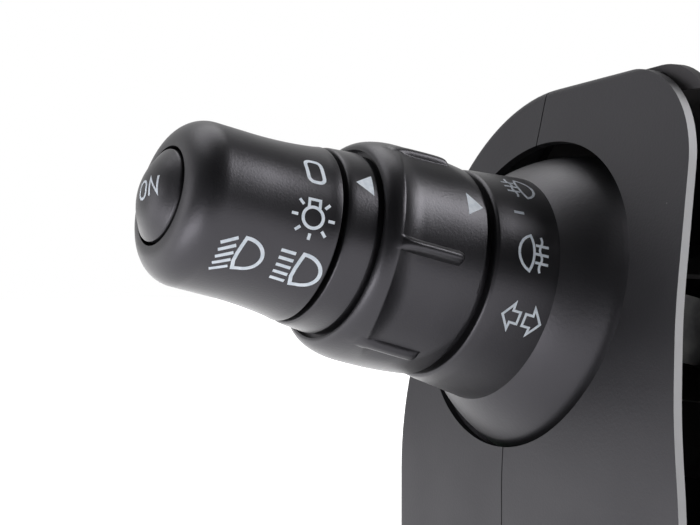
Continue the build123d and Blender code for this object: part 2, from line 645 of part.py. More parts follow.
# The side cover before it is split: cheek, crown, back and foot, open to the driver and to the column.
with BuildPart() as cover:
    with BuildSketch(Plane.YZ.offset(-FAR)):
        add(side_blank())
    extrude(amount=FAR + COVER_X)
    with BuildSketch(Plane.XZ):
        add(cheek_region())
    extrude(amount=FAR * 1.5, both=True, mode=Mode.INTERSECT)
    outer_cheek = cover.faces().filter_by(lambda face: face.normal_at().X < -0.9)
    rounded = [edge for edge in outer_cheek.edges() if edge.length > 0.1
               and not (abs(edge.tangent_at(0.5).Y) > 0.99 and abs((edge @ 0.5).Z) < 40)
               and abs((edge @ 0.5).Y + FAR) > 1]
    fillet(rounded, 1.6)
    with BuildSketch(Plane.YZ.offset(-FAR)):
        add(front_trim())
    extrude(amount=FAR + COVER_X + 1, mode=Mode.INTERSECT)
    with BuildPart(mode=Mode.PRIVATE) as cavity:
        with BuildSketch(Plane.YZ.offset(-FAR)):
            add(side_blank(WALL))
        extrude(amount=FAR + COVER_X + 1)
        with BuildSketch(Plane.XZ):
            add(cheek_region(WALL, COVER_X + 1))
        extrude(amount=FAR * 1.5, both=True, mode=Mode.INTERSECT)
    add(cavity.part, mode=Mode.SUBTRACT)
    with BuildSketch(cross_plane(PIVOT + 2)):
        with Locations(HOLE_OFFSET):
            Ellipse(HOLE_WIDE, HOLE_HIGH)
    extrude(amount=30, mode=Mode.SUBTRACT)
    with BuildSketch(Plane.YZ.offset(ROOF_X - 0.2)):
        with Locations((CROWN_FRONT_NOTCH_Y, CROWN_Z - 14)):
            Rectangle(FAR, FAR, align=(Align.MAX, Align.MIN))
    extrude(amount=FAR, mode=Mode.SUBTRACT)

SCREW_BOSSES = [(-58.5, -45.0), (-44.5, -45.0)]
BOSS_RADIUS = 3.6
BOARD_Y = 24.0
BOARD_THICK = 1.6
SOCKET_X = -48.6
SOCKET_Z = -30.0
SOCKET_WIDTH = 18.0
SOCKET_HEIGHT = 14.0
STAND_OFFS = [(-58.4, -20.0), (-41.4, -20.0)]
COVER_BACK = BACK_Y - WALL


def seam_side():
    """Side view of the driver's side of the parting line, which steps where it meets the dome's opening."""
    step_z = (OUTWARD * CHEEK).Z
    with BuildSketch() as face:
        with BuildLine():
            Polyline((-FAR, -FAR), (SEAM_LOW_Y, -FAR), (SEAM_LOW_Y, step_z), (SEAM_TOP_Y, step_z),
                     (SEAM_TOP_Y, FAR), (-FAR, FAR), close=True)
        make_face()
    return face.sketch


with BuildPart() as front_shell:
    add(cover.part)
    with BuildSketch(Plane.YZ.offset(-FAR)):
        add(seam_side())
    extrude(amount=FAR, mode=Mode.INTERSECT)
    with BuildSketch(Plane.XZ.offset(-SEAM_LOW_Y)):
        with Locations(*SCREW_BOSSES):
            Circle(BOSS_RADIUS)
    extrude(amount=12.0)
    with BuildSketch(Plane.XZ.offset(-SEAM_LOW_Y)):
        with Locations(*SCREW_BOSSES):
            Circle(1.25)
    extrude(amount=9.0, mode=Mode.SUBTRACT)
save(front_shell, "front_shell")

with BuildPart() as rear_shell:
    add(cover.part)
    with BuildSketch(Plane.YZ.offset(-FAR)):
        add(seam_side())
        offset(amount=SEAM_GAP, mode=Mode.REPLACE)
    extrude(amount=FAR, mode=Mode.SUBTRACT)
    with BuildSketch(Plane.XZ.offset(-COVER_BACK + 0.5)):
        with Locations(*SCREW_BOSSES):
            Circle(BOSS_RADIUS)
    extrude(amount=COVER_BACK - SEAM_LOW_Y - SEAM_GAP - 0.5)
    with BuildSketch(Plane.XZ.offset(-BACK_Y)):
        with Locations(*SCREW_BOSSES):
            Circle(1.6)
    extrude(amount=FAR, mode=Mode.SUBTRACT)
    with BuildSketch(Plane.XZ.offset(-BACK_Y)):
        with Locations(*SCREW_BOSSES):
            Circle(3.2)
    extrude(amount=2.6, mode=Mode.SUBTRACT)
    with BuildSketch(Plane.XZ.offset(-BACK_Y)):
        with Locations((SOCKET_X, SOCKET_Z)):
            Rectangle(SOCKET_WIDTH + 0.3, SOCKET_HEIGHT + 0.3)
    extrude(amount=WALL + 1, mode=Mode.SUBTRACT)
    with BuildSketch(Plane.XZ.offset(-COVER_BACK)):
        with Locations(*STAND_OFFS):
            Circle(2.4)
            Circle(1.0, mode=Mode.SUBTRACT)
    extrude(amount=COVER_BACK - BOARD_Y - BOARD_THICK)
save(rear_shell, "rear_shell")

with BuildPart() as shell_screws:
    for place in SCREW_BOSSES:
        with BuildSketch(Plane.XZ.offset(-BACK_Y + 2.6)):
            with Locations(place):
                Circle(2.9)
        extrude(amount=-2.0)
        with BuildSketch(Plane.XZ.offset(-BACK_Y + 2.6)):
            with Locations(place):
                Circle(1.25)
        extrude(amount=BACK_Y - 2.6 + 8.0)
save(shell_screws, "shell_screws")

# ---- the switch body: roof, back, foot, far side and the sleeve that clamps on the column --------

BODY_WALL = 1.8
LIP_X = -38.8             # a lip reaches this far into the cover
LIP_GAP = 0.15
WEB = 3.0
SPIGOT_RADIUS = 22.8
SPIGOT_FRONT_Y = -31.5
SLEEVE_STEP_Y = -24.2
CLAMP_FRONT_Y = 33.0


def roof_side(raise_by):
    """Side view of the overhanging front end of the roof."""
    with BuildSketch() as face:
        add(side_blank(raise_by=raise_by))
        add(front_trim(raise_by, ROOF_CORNER), mode=Mode.INTERSECT)
        with Locations((CROWN_FRONT_NOTCH_Y - 0.3, 0)):
            Rectangle(2 * FAR, 2 * FAR, align=(Align.MIN, Align.CENTER), mode=Mode.SUBTRACT)
        with Locations((0, CROWN_Z - 12)):
            Rectangle(4 * FAR, 2 * FAR, align=(Align.CENTER, Align.MAX), mode=Mode.SUBTRACT)
    return face.sketch


with BuildPart() as switch_body:
    with BuildSketch(Plane.YZ.offset(COVER_X)):
        add(side_blank(raise_by=ROOF_RISE))
    extrude(amount=BODY_RIGHT_X - COVER_X)
    with BuildSketch(Plane.YZ.offset(ROOF_X)):
        add(roof_side(ROOF_RISE))
    extrude(amount=COVER_X - ROOF_X)
    with BuildSketch(Plane.YZ.offset(-FAR)):
        add(front_trim(ROOF_RISE, ROOF_CORNER))
    extrude(amount=2 * FAR, mode=Mode.INTERSECT)
    with BuildPart(mode=Mode.PRIVATE) as hollow:
        with BuildSketch(Plane.YZ.offset(ROOF_X + BODY_WALL)):
            add(side_blank(BODY_WALL, ROOF_RISE))
        extrude(amount=BODY_RIGHT_X - ROOF_X - 2 * BODY_WALL)
    add(hollow.part, mode=Mode.SUBTRACT)
    with BuildSketch(Plane.YZ.offset(ROOF_X)):
        add(roof_side(FIN_RISE))
    extrude(amount=BODY_WALL)
    for start, reach, outer in ((LIP_X, COVER_X - LIP_X, WALL + LIP_GAP), (COVER_X, 4.0, BODY_WALL - 0.2)):
        with BuildSketch(Plane.YZ.offset(start)):
            add(side_blank(outer))
            add(side_blank(WALL + 1.7), mode=Mode.SUBTRACT)
            Rectangle(FAR, 3 * FAR, align=(Align.MAX, Align.CENTER), mode=Mode.SUBTRACT)
        extrude(amount=reach)
    with BuildSketch(Plane.YZ.offset(ROOF_X - 1)):
        with Locations((-20, VISOR_LOW_Z)):
            Rectangle(FAR, FAR, align=(Align.MAX, Align.MAX))
    extrude(amount=COVER_X - ROOF_X + 1, mode=Mode.SUBTRACT)
    with BuildSketch(Plane.YZ):
        add(side_blank(1.0, ROOF_RISE))
        Rectangle(FAR + 6.0, 3 * FAR, align=(Align.MAX, Align.CENTER), mode=Mode.SUBTRACT)
        Rectangle(6.0, 3 * FAR, align=(Align.MIN, Align.CENTER), mode=Mode.SUBTRACT)
    extrude(amount=WEB / 2, both=True)
    with BuildSketch(Plane.XZ.offset(-BACK_Y + 1.0)):
        Rectangle(BODY_RIGHT_X - 1.0, WEB, align=(Align.MIN, Align.CENTER))
    extrude(amount=BACK_Y - 7.0)
    with BuildSketch(Plane.XZ.offset(-SLEEVE_BACK_Y)):
        Circle(SLEEVE_RADIUS)
    extrude(amount=SLEEVE_BACK_Y - SLEEVE_STEP_Y)
    with BuildSketch(Plane.XZ.offset(-SLEEVE_BACK_Y)):
        Circle(SPIGOT_RADIUS)
    extrude(amount=SLEEVE_BACK_Y - SPIGOT_FRONT_Y)
    for side in (-1, 1):
        with BuildSketch(cross_plane(19.0)):
            with Locations((side * SCREW_X, 0)):
                Rectangle(6.4, 22.0)
        extrude(amount=PLATE_LOW - 19.0)
    with BuildSketch(cross_plane(PLATE_LOW)):
        with Locations(*SCREW_PLACES):
            Circle(1.25)
    extrude(amount=-6.0, mode=Mode.SUBTRACT)
    with BuildSketch(Plane.XZ.offset(-SLEEVE_BACK_Y)):
        Circle(COLUMN_RADIUS)
    extrude(amount=SLEEVE_BACK_Y - SPIGOT_FRONT_Y, mode=Mode.SUBTRACT)
    with BuildSketch(Plane.XZ.offset(-SLEEVE_BACK_Y)):
        Rectangle(2.2, 3 * SLEEVE_RADIUS)
    extrude(amount=SLEEVE_BACK_Y - CLAMP_FRONT_Y - 0.5, mode=Mode.SUBTRACT)
save(switch_body, "switch_body")

# ---- the column clamp at the back of the sleeve ---------------------------------------------------

BAND_BACK_Y = SLEEVE_BACK_Y - 0.6
BAND_WIDTH = 5.0
BAND_THICK = 1.4
EAR_X = 30.0
EAR_THICK = 2.4
GAP_HALF = 1.5

with BuildPart() as clamp_band:
    with BuildSketch(Plane.XZ.offset(-BAND_BACK_Y)):
        Circle(SLEEVE_RADIUS + BAND_THICK)
        with Locations((EAR_X - 3.0, 0)):
            Rectangle(14.0, 2 * (GAP_HALF + EAR_THICK))
        Circle(SLEEVE_RADIUS, mode=Mode.SUBTRACT)
        with Locations((EAR_X, 0)):
            Rectangle(20.0, 2 * GAP_HALF, mode=Mode.SUBTRACT)
    extrude(amount=BAND_WIDTH)
    with BuildSketch(Plane.XY.offset(-10)):
        with Locations((EAR_X, BAND_BACK_Y - BAND_WIDTH / 2)):
            Circle(1.7)
    extrude(amount=20, mode=Mode.SUBTRACT)
save(clamp_band, "clamp_band")

SCREW_HEAD_Z = GAP_HALF + EAR_THICK
with BuildPart() as clamp_screw:
    with BuildSketch(Plane.XY.offset(SCREW_HEAD_Z)):
        with Locations((EAR_X, BAND_BACK_Y - BAND_WIDTH / 2)):
            Circle(2.9)
    extrude(amount=2.6)
    with BuildSketch(Plane.XY.offset(SCREW_HEAD_Z)):
        with Locations((EAR_X, BAND_BACK_Y - BAND_WIDTH / 2)):
            Circle(1.5)
    extrude(amount=-11.0)
    with BuildSketch(Plane.XY.offset(SCREW_HEAD_Z + 2.6)):
        with Locations((EAR_X, BAND_BACK_Y - BAND_WIDTH / 2)):
            RegularPolygon(1.45, 6)
    extrude(amount=-1.6, mode=Mode.SUBTRACT)
save(clamp_screw, "clamp_screw")

with BuildPart() as clamp_nut:
    with BuildSketch(Plane.XY.offset(-SCREW_HEAD_Z)):
        with Locations((EAR_X, BAND_BACK_Y - BAND_WIDTH / 2)):
            RegularPolygon(2.75, 6, major_radius=False)
            Circle(1.5, mode=Mode.SUBTRACT)
    extrude(amount=-2.4)
save(clamp_nut, "clamp_nut")

# ---- the ring on the sleeve's spigot that cancels the turn signal ----------------------------------

RING_FRONT_Y = SPIGOT_FRONT_Y + 0.5
CANCEL_RADIUS = 26.0
CAM_RADIUS = 28.2
with BuildPart() as cancel_ring:
    with BuildSketch(Plane.XZ.offset(-SLEEVE_STEP_Y + 0.3)):
        Circle(CANCEL_RADIUS)
        with Locations((CAM_RADIUS - 4.0, 0)):
            RectangleRounded(8.0, 7.0, 1.2)
        Circle(SPIGOT_RADIUS + RUNNING_FIT, mode=Mode.SUBTRACT)
    extrude(amount=SLEEVE_STEP_Y - 0.3 - RING_FRONT_Y)
    with BuildSketch(Plane.XZ.offset(-RING_FRONT_Y - 2.5)):
        Rectangle(5.0, 3 * CAM_RADIUS)
    extrude(amount=5.0, mode=Mode.SUBTRACT)
save(cancel_ring, "cancel_ring")

# ---- board, plug socket and their fasteners ---------------------------------------------------------

PIN_COLUMNS = 5
PIN_PITCH = 2.7
PIN_ROW_PITCH = 6.0
PIN_SIDE = 0.8
with BuildPart() as terminals:
    with BuildSketch(Plane.XZ.offset(-BOARD_Y + 0.8)):
        with Locations((SOCKET_X, SOCKET_Z)):
            with GridLocations(PIN_PITCH, PIN_ROW_PITCH, PIN_COLUMNS, 2):
                Rectangle(PIN_SIDE, PIN_SIDE)
    extrude(amount=-12.8)
save(terminals, "terminals")

with BuildPart() as circuit_board:
    with BuildSketch(Plane.XZ.offset(-BOARD_Y - BOARD_THICK)):
        with Locations((-49.6, -28.2)):
            Rectangle(23.0, 22.6)
        with Locations(*STAND_OFFS):
            Circle(1.1, mode=Mode.SUBTRACT)
    extrude(amount=BOARD_THICK)
    add(terminals.part, mode=Mode.SUBTRACT)
save(circuit_board, "circuit_board")

with BuildPart() as board_screws:
    for place in STAND_OFFS:
        with BuildSketch(Plane.XZ.offset(-BOARD_Y)):
            with Locations(place):
                Circle(1.9)
        extrude(amount=1.3)
        with BuildSketch(Plane.XZ.offset(-BOARD_Y)):
            with Locations(place):
                Circle(1.0)
        extrude(amount=-5.0)
save(board_screws, "board_screws")

SOCKET_FOOT_Y = BOARD_Y + BOARD_THICK
SOCKET_MOUTH_Y = 41.0
SOCKET_WALL = 1.4
with BuildPart() as plug_socket:
    with BuildSketch(Plane.XZ.offset(-SOCKET_MOUTH_Y)):
        with Locations((SOCKET_X, SOCKET_Z)):
            RectangleRounded(SOCKET_WIDTH, SOCKET_HEIGHT, 1.5)
    extrude(amount=SOCKET_MOUTH_Y - SOCKET_FOOT_Y)
    with BuildSketch(Plane.XZ.offset(-SOCKET_MOUTH_Y)):
        with Locations((SOCKET_X, SOCKET_Z)):
            RectangleRounded(SOCKET_WIDTH - 2 * SOCKET_WALL, SOCKET_HEIGHT - 2 * SOCKET_WALL, 0.8)
    extrude(amount=SOCKET_MOUTH_Y - SOCKET_FOOT_Y - 2.4, mode=Mode.SUBTRACT)
    add(terminals.part, mode=Mode.SUBTRACT)
save(plug_socket, "plug_socket")
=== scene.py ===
import json
from math import acos, asin, atan2, ceil, cos, degrees, hypot, pi, radians, sin, sqrt

import bmesh
import bpy
from mathutils import Matrix, Vector


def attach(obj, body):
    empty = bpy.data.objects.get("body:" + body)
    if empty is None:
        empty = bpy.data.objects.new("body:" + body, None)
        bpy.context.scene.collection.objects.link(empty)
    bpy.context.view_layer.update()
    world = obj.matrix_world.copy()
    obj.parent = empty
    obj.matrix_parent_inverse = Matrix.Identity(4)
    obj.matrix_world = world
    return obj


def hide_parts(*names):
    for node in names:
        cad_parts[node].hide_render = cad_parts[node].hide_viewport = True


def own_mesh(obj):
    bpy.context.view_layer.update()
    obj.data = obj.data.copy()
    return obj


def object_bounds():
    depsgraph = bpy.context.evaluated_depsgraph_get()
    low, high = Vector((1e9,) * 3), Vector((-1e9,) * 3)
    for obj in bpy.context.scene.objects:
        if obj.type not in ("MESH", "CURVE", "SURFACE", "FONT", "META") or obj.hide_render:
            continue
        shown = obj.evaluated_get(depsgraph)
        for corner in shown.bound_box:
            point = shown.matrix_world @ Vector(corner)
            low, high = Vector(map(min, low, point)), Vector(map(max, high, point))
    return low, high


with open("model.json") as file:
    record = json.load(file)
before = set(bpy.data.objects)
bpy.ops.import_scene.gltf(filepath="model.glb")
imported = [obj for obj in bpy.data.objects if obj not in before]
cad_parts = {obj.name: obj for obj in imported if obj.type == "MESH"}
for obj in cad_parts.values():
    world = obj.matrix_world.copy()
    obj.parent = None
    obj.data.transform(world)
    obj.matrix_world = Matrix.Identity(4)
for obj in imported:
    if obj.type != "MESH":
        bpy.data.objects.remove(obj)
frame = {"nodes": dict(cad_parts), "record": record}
cad_low, cad_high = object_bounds()
MM = 0.001

# ---- camera: the photograph's viewing angle, with the lens that gives its framing --------------------
CAMERA_PLACE = Vector((-245.2, -267.6, 20.4)) * MM
CAMERA_LOOK = Vector((0.4896, 0.8720, 0.0)).normalized()
CAMERA_LENS = 92.57
SENSOR_WIDTH = 36.0
camera_data = bpy.data.cameras.new("camera")
camera_data.lens = CAMERA_LENS
camera_data.sensor_width = SENSOR_WIDTH
camera_data.sensor_fit = "HORIZONTAL"
camera_data.clip_start = 0.01
camera = bpy.data.objects.new("camera", camera_data)
camera_up = Vector((0, 0, 1))
camera_right = CAMERA_LOOK.cross(camera_up)
camera.matrix_world = Matrix((camera_right, camera_up, -CAMERA_LOOK)).transposed().to_4x4()
camera.matrix_world.translation = CAMERA_PLACE
bpy.context.scene.collection.objects.link(camera)
bpy.context.scene.camera = camera
bpy.context.scene.view_settings.view_transform = "Standard"

# ---- the lever's own frame: stations along it and radii from its axis, in millimetres -----------------
TILT = radians(13.5)
OUTWARD = Vector((-cos(TILT), 0, sin(TILT)))
UPWARD = Vector((sin(TILT), 0, cos(TILT)))
DRIVERWARD = Vector((0, -1, 0))
NOSE = 132.7              # station of the hole for the button
PRINT_FROM = 133.5        # the symbols are measured back from this station


def place(station, radius, angle):
    """Point (metres) at a station along the lever, a radius from its axis and an angle in radians."""
    return (OUTWARD * station + DRIVERWARD * (radius * cos(angle)) + UPWARD * (radius * sin(angle))) * MM


def arc(centre, radius, start, end, steps):
    """Points of an arc, angles in degrees, in a plane of (radius, station) or (x, y)."""
    points = []
    for step in range(steps + 1):
        angle = radians(start + (end - start) * step / steps)
        points.append((centre[0] + radius * cos(angle), centre[1] + radius * sin(angle)))
    return points


# ---- mesh helpers --------------------------------------------------------------------------------------
LATHE_STEPS = 192
ON_AXIS = 1e-6            # a radius below this is a point on the lever's axis


def new_piece(name, body, bm, material, smooth=True):
    """Turns a bmesh into a piece that rides on a body."""
    bmesh.ops.recalc_face_normals(bm, faces=bm.faces)
    mesh = bpy.data.meshes.new(name)
    bm.to_mesh(mesh)
    bm.free()
    for polygon in mesh.polygons:
        polygon.use_smooth = smooth
    piece = bpy.data.objects.new(name, mesh)
    bpy.context.scene.collection.objects.link(piece)
    mesh.materials.append(material)
    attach(piece, body)
    return piece


def sharpen(piece, angle=32.0):
    """Keeps edges crisp where the surface turns by more than an angle, in degrees."""
    piece.data.set_sharp_from_angle(angle=radians(angle))


def lathe(outline, swell=None, angles=None):
    """Closed surface of revolution from a closed outline of (radius, station); swell adds to the radius."""
    bm = bmesh.new()
    if angles is None:
        angles = [2 * pi * k / LATHE_STEPS for k in range(LATHE_STEPS)]
    rings = []
    for radius, station in outline:
        if radius < ON_AXIS:
            rings.append([bm.verts.new(place(station, 0, 0))])
            continue
        ring = []
        for angle in angles:
            extra = swell(station, angle, radius) if swell else 0.0
            ring.append(bm.verts.new(place(station, radius + extra, angle)))
        rings.append(ring)
    count = len(angles)
    for low, high in zip(rings, rings[1:] + rings[:1]):
        if len(low) == 1 and len(high) == 1:
            continue
        for k in range(count):
            n = (k + 1) % count
            corners = [low[k % len(low)], low[n % len(low)], high[n % len(high)], high[k % len(high)]]
            unique = []
            for corner in corners:
                if corner not in unique:
                    unique.append(corner)
            bm.faces.new(unique)
    return bm


# ---- material nodes ----------------------------------------------------------------------------------
NOISE_LOW, NOISE_HIGH = 0.3, 0.7      # nearly all of a noise's values lie between these
MIX_SHARE, MIX_FIRST, MIX_SECOND = 0, 6, 7
MIX_RESULT = 2


def principled(name, roughness, specular=0.5):
    """New material with its node tree and its shader."""
    material = bpy.data.materials.new(name)
    material.use_nodes = True
    tree = material.node_tree
    shader = tree.nodes["Principled BSDF"]
    shader.inputs["Roughness"].default_value = roughness
    shader.inputs["Specular IOR Level"].default_value = specular
    return material, tree, shader


def feed(tree, source, port):
    """Links an output to an input, or sets the input to a number or a colour."""
    if isinstance(source, bpy.types.NodeSocket):
        tree.links.new(source, port)
    else:
        port.default_value = source


def noise(tree, scale, detail=2.0, roughness=0.5):
    """Noise over the object's own coordinates."""
    where = tree.nodes.new("ShaderNodeTexCoord")
    node = tree.nodes.new("ShaderNodeTexNoise")
    node.inputs["Scale"].default_value = scale
    node.inputs["Detail"].default_value = detail
    node.inputs["Roughness"].default_value = roughness
    tree.links.new(where.outputs["Object"], node.inputs["Vector"])
    return node.outputs["Fac"]


def ramp(tree, source, low, high, low_colour, high_colour):
    """Runs from one colour to another between two values."""
    node = tree.nodes.new("ShaderNodeValToRGB")
    for element, position, colour in zip(node.color_ramp.elements, (low, high), (low_colour, high_colour)):
        element.position = position
        element.color = (*colour, 1)
    tree.links.new(source, node.inputs["Fac"])
    return node.outputs["Color"]


def remap(tree, source, low, high, to_low=0.0, to_high=1.0, easing="LINEAR"):
    """Maps the numbers of one range onto another."""
    node = tree.nodes.new("ShaderNodeMapRange")
    node.interpolation_type = easing
    node.inputs["From Min"].default_value = low
    node.inputs["From Max"].default_value = high
    node.inputs["To Min"].default_value = to_low
    node.inputs["To Max"].default_value = to_high
    tree.links.new(source, node.inputs["Value"])
    return node.outputs["Result"]


def maths(tree, operation, *sources):
    """One operation on outputs or numbers."""
    node = tree.nodes.new("ShaderNodeMath")
    node.operation = operation
    for source, port in zip(sources, node.inputs):
        feed(tree, source, port)
    return node.outputs["Value"]


def mix_colours(tree, share, first, second, blend="MIX"):
    """Mixes two colours by a share."""
    node = tree.nodes.new("ShaderNodeMix")
    node.data_type = "RGBA"
    node.blend_type = blend
    for source, port in ((share, MIX_SHARE), (first, MIX_FIRST), (second, MIX_SECOND)):
        feed(tree, source, node.inputs[port])
    return node.outputs[MIX_RESULT]


def bump(tree, shader, height, distance, strength):
    """Bumps the shader's normal by a height; distance is in metres."""
    node = tree.nodes.new("ShaderNodeBump")
    node.inputs["Distance"].default_value = distance
    node.inputs["Strength"].default_value = strength
    tree.links.new(height, node.inputs["Height"])
    tree.links.new(node.outputs["Normal"], shader.inputs["Normal"])


def clouded(tree, shader, cloud, low, high, dark, light):
    """Base colour that drifts between two tones with a cloud of noise."""
    tree.links.new(ramp(tree, cloud, low, high, dark, light), shader.inputs["Base Color"])


# ---- materials ---------------------------------------------------------------------------------------
SHEEN_TINT = (0.93, 0.90, 1.0, 1.0)
SPECK_SCALE = 420.0
SPECK_SIZE = (0.025, 0.045)
SPECK_SHARE = (0.86, 0.88)            # only the cells above this have a speck
SPECK_STRENGTH = 0.5
SPECK_COLOUR = (0.32, 0.31, 0.30, 1)


def dust_mask(tree):
    """Where the few specks of dust lie, and how strongly they show."""
    cells = tree.nodes.new("ShaderNodeTexVoronoi")
    cells.inputs["Scale"].default_value = SPECK_SCALE
    cells.inputs["Randomness"].default_value = 1.0
    where = tree.nodes.new("ShaderNodeTexCoord")
    tree.links.new(where.outputs["Object"], cells.inputs["Vector"])
    black = (0, 0, 0)
    dot = ramp(tree, cells.outputs["Distance"], *SPECK_SIZE, (1, 1, 1), black)
    rare = ramp(tree, cells.outputs["Color"], *SPECK_SHARE, black, (SPECK_STRENGTH,) * 3)
    return mix_colours(tree, 1.0, dot, rare, "MULTIPLY")


def moulded_plastic(name, dark, light, roughness, grain_scale, grain):
    """Moulded plastic: fine spark grain, cloudy gloss, a few specks of dust."""
    material, tree, shader = principled(name, roughness[0])
    cloud = noise(tree, 45.0, 3.0)
    tone = ramp(tree, cloud, 0.32, 0.68, dark, light)
    tree.links.new(remap(tree, cloud, NOISE_LOW, NOISE_HIGH, *roughness), shader.inputs["Roughness"])
    colour = mix_colours(tree, dust_mask(tree), tone, SPECK_COLOUR)
    tree.links.new(colour, shader.inputs["Base Color"])
    bump(tree, shader, noise(tree, grain_scale, 2.0, 0.6), 0.00003, grain)
    shader.inputs["Specular Tint"].default_value = SHEEN_TINT
    return material


def paint_edge_highlight(material, colour):
    """Paints a highlight on the cover's front edge: its cut face is lightened in colour to stand in for the
    light that falls on it.
    """
    tree = material.node_tree
    shader = tree.nodes["Principled BSDF"]
    base = shader.inputs["Base Color"].links[0].from_socket
    surface = tree.nodes.new("ShaderNodeNewGeometry")
    facing = tree.nodes.new("ShaderNodeSeparateXYZ")
    spot = tree.nodes.new("ShaderNodeSeparateXYZ")
    tree.links.new(surface.outputs["Normal"], facing.inputs["Vector"])
    tree.links.new(surface.outputs["Position"], spot.inputs["Vector"])
    # one where the surface faces the driver, isn't a side wall, and lies at the very front, in metres: the
    # mask of the painted highlight
    faces_driver = remap(tree, facing.outputs["Y"], -0.2, -0.75)
    not_sideways = remap(tree, maths(tree, "ABSOLUTE", facing.outputs["X"]), 0.25, 0.1)
    at_front = remap(tree, spot.outputs["Y"], -0.030, -0.033)
    mask = maths(tree, "MULTIPLY", maths(tree, "MULTIPLY", faces_driver, not_sideways), at_front)
    tree.links.new(mix_colours(tree, mask, base, (*colour, 1)), shader.inputs["Base Color"])


def plain_plastic(name, dark, light, roughness):
    """Smooth plastic or board with a faint grain."""
    material, tree, shader = principled(name, roughness)
    clouded(tree, shader, noise(tree, 90.0, 3.0), NOISE_LOW, NOISE_HIGH, dark, light)
    bump(tree, shader, noise(tree, 2200.0), 0.00002, 0.25)
    return material


def metal(name, dark, light, roughness):
    """Metal whose tone and gloss vary a little."""
    material, tree, shader = principled(name, roughness)
    shader.inputs["Metallic"].default_value = 1.0
    cloud = noise(tree, 260.0, 4.0, 0.65)
    clouded(tree, shader, cloud, NOISE_LOW, NOISE_HIGH, dark, light)
    gloss = remap(tree, cloud, NOISE_LOW, NOISE_HIGH, roughness - 0.08, roughness + 0.1)
    tree.links.new(gloss, shader.inputs["Roughness"])
    return material


def ink(name, dark, light):
    """Printed or laser-whitened symbols, a little uneven."""
    material, tree, shader = principled(name, 0.5, 0.35)
    clouded(tree, shader, noise(tree, 900.0, 3.0), NOISE_LOW, 0.62, dark, light)
    return material


# name, darkest and lightest tone, range of roughness, scale of the grain and its strength
LEVER = moulded_plastic("lever_black", (0.004, 0.004, 0.0046), (0.006, 0.006, 0.0068),
                        (0.32, 0.40), 2600.0, 0.8)
DOME = moulded_plastic("dome_black", (0.006, 0.006, 0.0068), (0.010, 0.010, 0.011),
                       (0.38, 0.46), 1500.0, 1.0)
COVER = moulded_plastic("cover_black", (0.007, 0.007, 0.0078), (0.010, 0.010, 0.0109),
                        (0.48, 0.58), 2000.0, 1.0)
# painted highlight: the cover's front edge is lightened to this grey in place of the light that falls on it
paint_edge_highlight(COVER, (0.42, 0.42, 0.43))
BODY = moulded_plastic("body_black", (0.010, 0.0092, 0.0088), (0.014, 0.0128, 0.0122),
                       (0.5, 0.6), 1500.0, 0.9)
NYLON = plain_plastic("natural_nylon", (0.62, 0.60, 0.54), (0.72, 0.70, 0.64), 0.42)
BOARD = plain_plastic("board_green", (0.018, 0.10, 0.045), (0.03, 0.15, 0.07), 0.3)
# painted shade: the zinc is toned far darker than bare zinc, so that the parts inside the housing stay as
# dark as the shade they sit in
ZINC_IN_PAINTED_SHADE = metal("zinc_steel", (0.05, 0.05, 0.052), (0.09, 0.09, 0.088), 0.5)
SPRING = metal("spring_steel", (0.30, 0.30, 0.31), (0.46, 0.46, 0.47), 0.30)
BRASS = metal("contact_brass", (0.66, 0.50, 0.24), (0.80, 0.66, 0.36), 0.28)
INK = ink("ink_white", (0.60, 0.66, 0.74), (0.74, 0.79, 0.86))
INK_WORN = ink("ink_worn", (0.36, 0.39, 0.44), (0.50, 0.54, 0.60))

node_material = {"lever_black": LEVER, "cover_black": COVER, "body_black": BODY, "natural_nylon": NYLON,
                 "zinc_steel": ZINC_IN_PAINTED_SHADE, "spring_steel": SPRING, "board_green": BOARD, "contact_brass": BRASS}
for part in frame["record"]["subparts"]:
    node = frame["nodes"][part["node"]]
    node.data.materials.clear()
    node.data.materials.append(node_material[part["material_slot"]])

# ---- the end knob ---------------------------------------------------------------------------------------
KNOB_END, KNOB_RADIUS, KNOB_WAIST = 108.1, 15.0, 13.85
WAIST_END = NOSE - 11.2
NOSE_ARC = 5.6
BUTTON_BORE = 8.35
NOSE_BACK = 4.7           # from the hole's plane back to the middle of the nose's rounding
NOSE_THICKNESS = 6.5
KNOB_CAVITY = 12.0
KNOB_EDGE = 0.35
BARREL_STEP = 1.2


def sagitta_radius(half_length, depth):
    """Radius of the arc that is so deep over half of its chord."""
    return (half_length ** 2 + depth ** 2) / (2 * depth)


SWEEP_RADIUS = sagitta_radius(WAIST_END - KNOB_END, KNOB_RADIUS - KNOB_WAIST)


def knob_radius(station):
    """Outer radius of the knob's barrel."""
    if station > WAIST_END:
        return KNOB_WAIST
    return KNOB_WAIST + SWEEP_RADIUS - sqrt(SWEEP_RADIUS ** 2 - (WAIST_END - station) ** 2)


nose_centre = (KNOB_WAIST - NOSE_ARC, NOSE - NOSE_BACK)
bore_angle = degrees(acos((BUTTON_BORE - nose_centre[0]) / NOSE_ARC))
knob_outline = arc(nose_centre, NOSE_ARC, bore_angle, 0, 22)
for k in range(11):
    station = WAIST_END - k * BARREL_STEP
    knob_outline.append((knob_radius(station), station))
knob_outline += arc((KNOB_RADIUS - KNOB_EDGE, KNOB_END + KNOB_EDGE), KNOB_EDGE, 0, -90, 6)
knob_outline += [(KNOB_CAVITY, KNOB_END), (KNOB_CAVITY, NOSE - NOSE_THICKNESS),
                 (BUTTON_BORE, NOSE - NOSE_THICKNESS)]
knob = new_piece("knob", "knob", lathe(knob_outline), LEVER)
sharpen(knob)
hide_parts("end_knob")

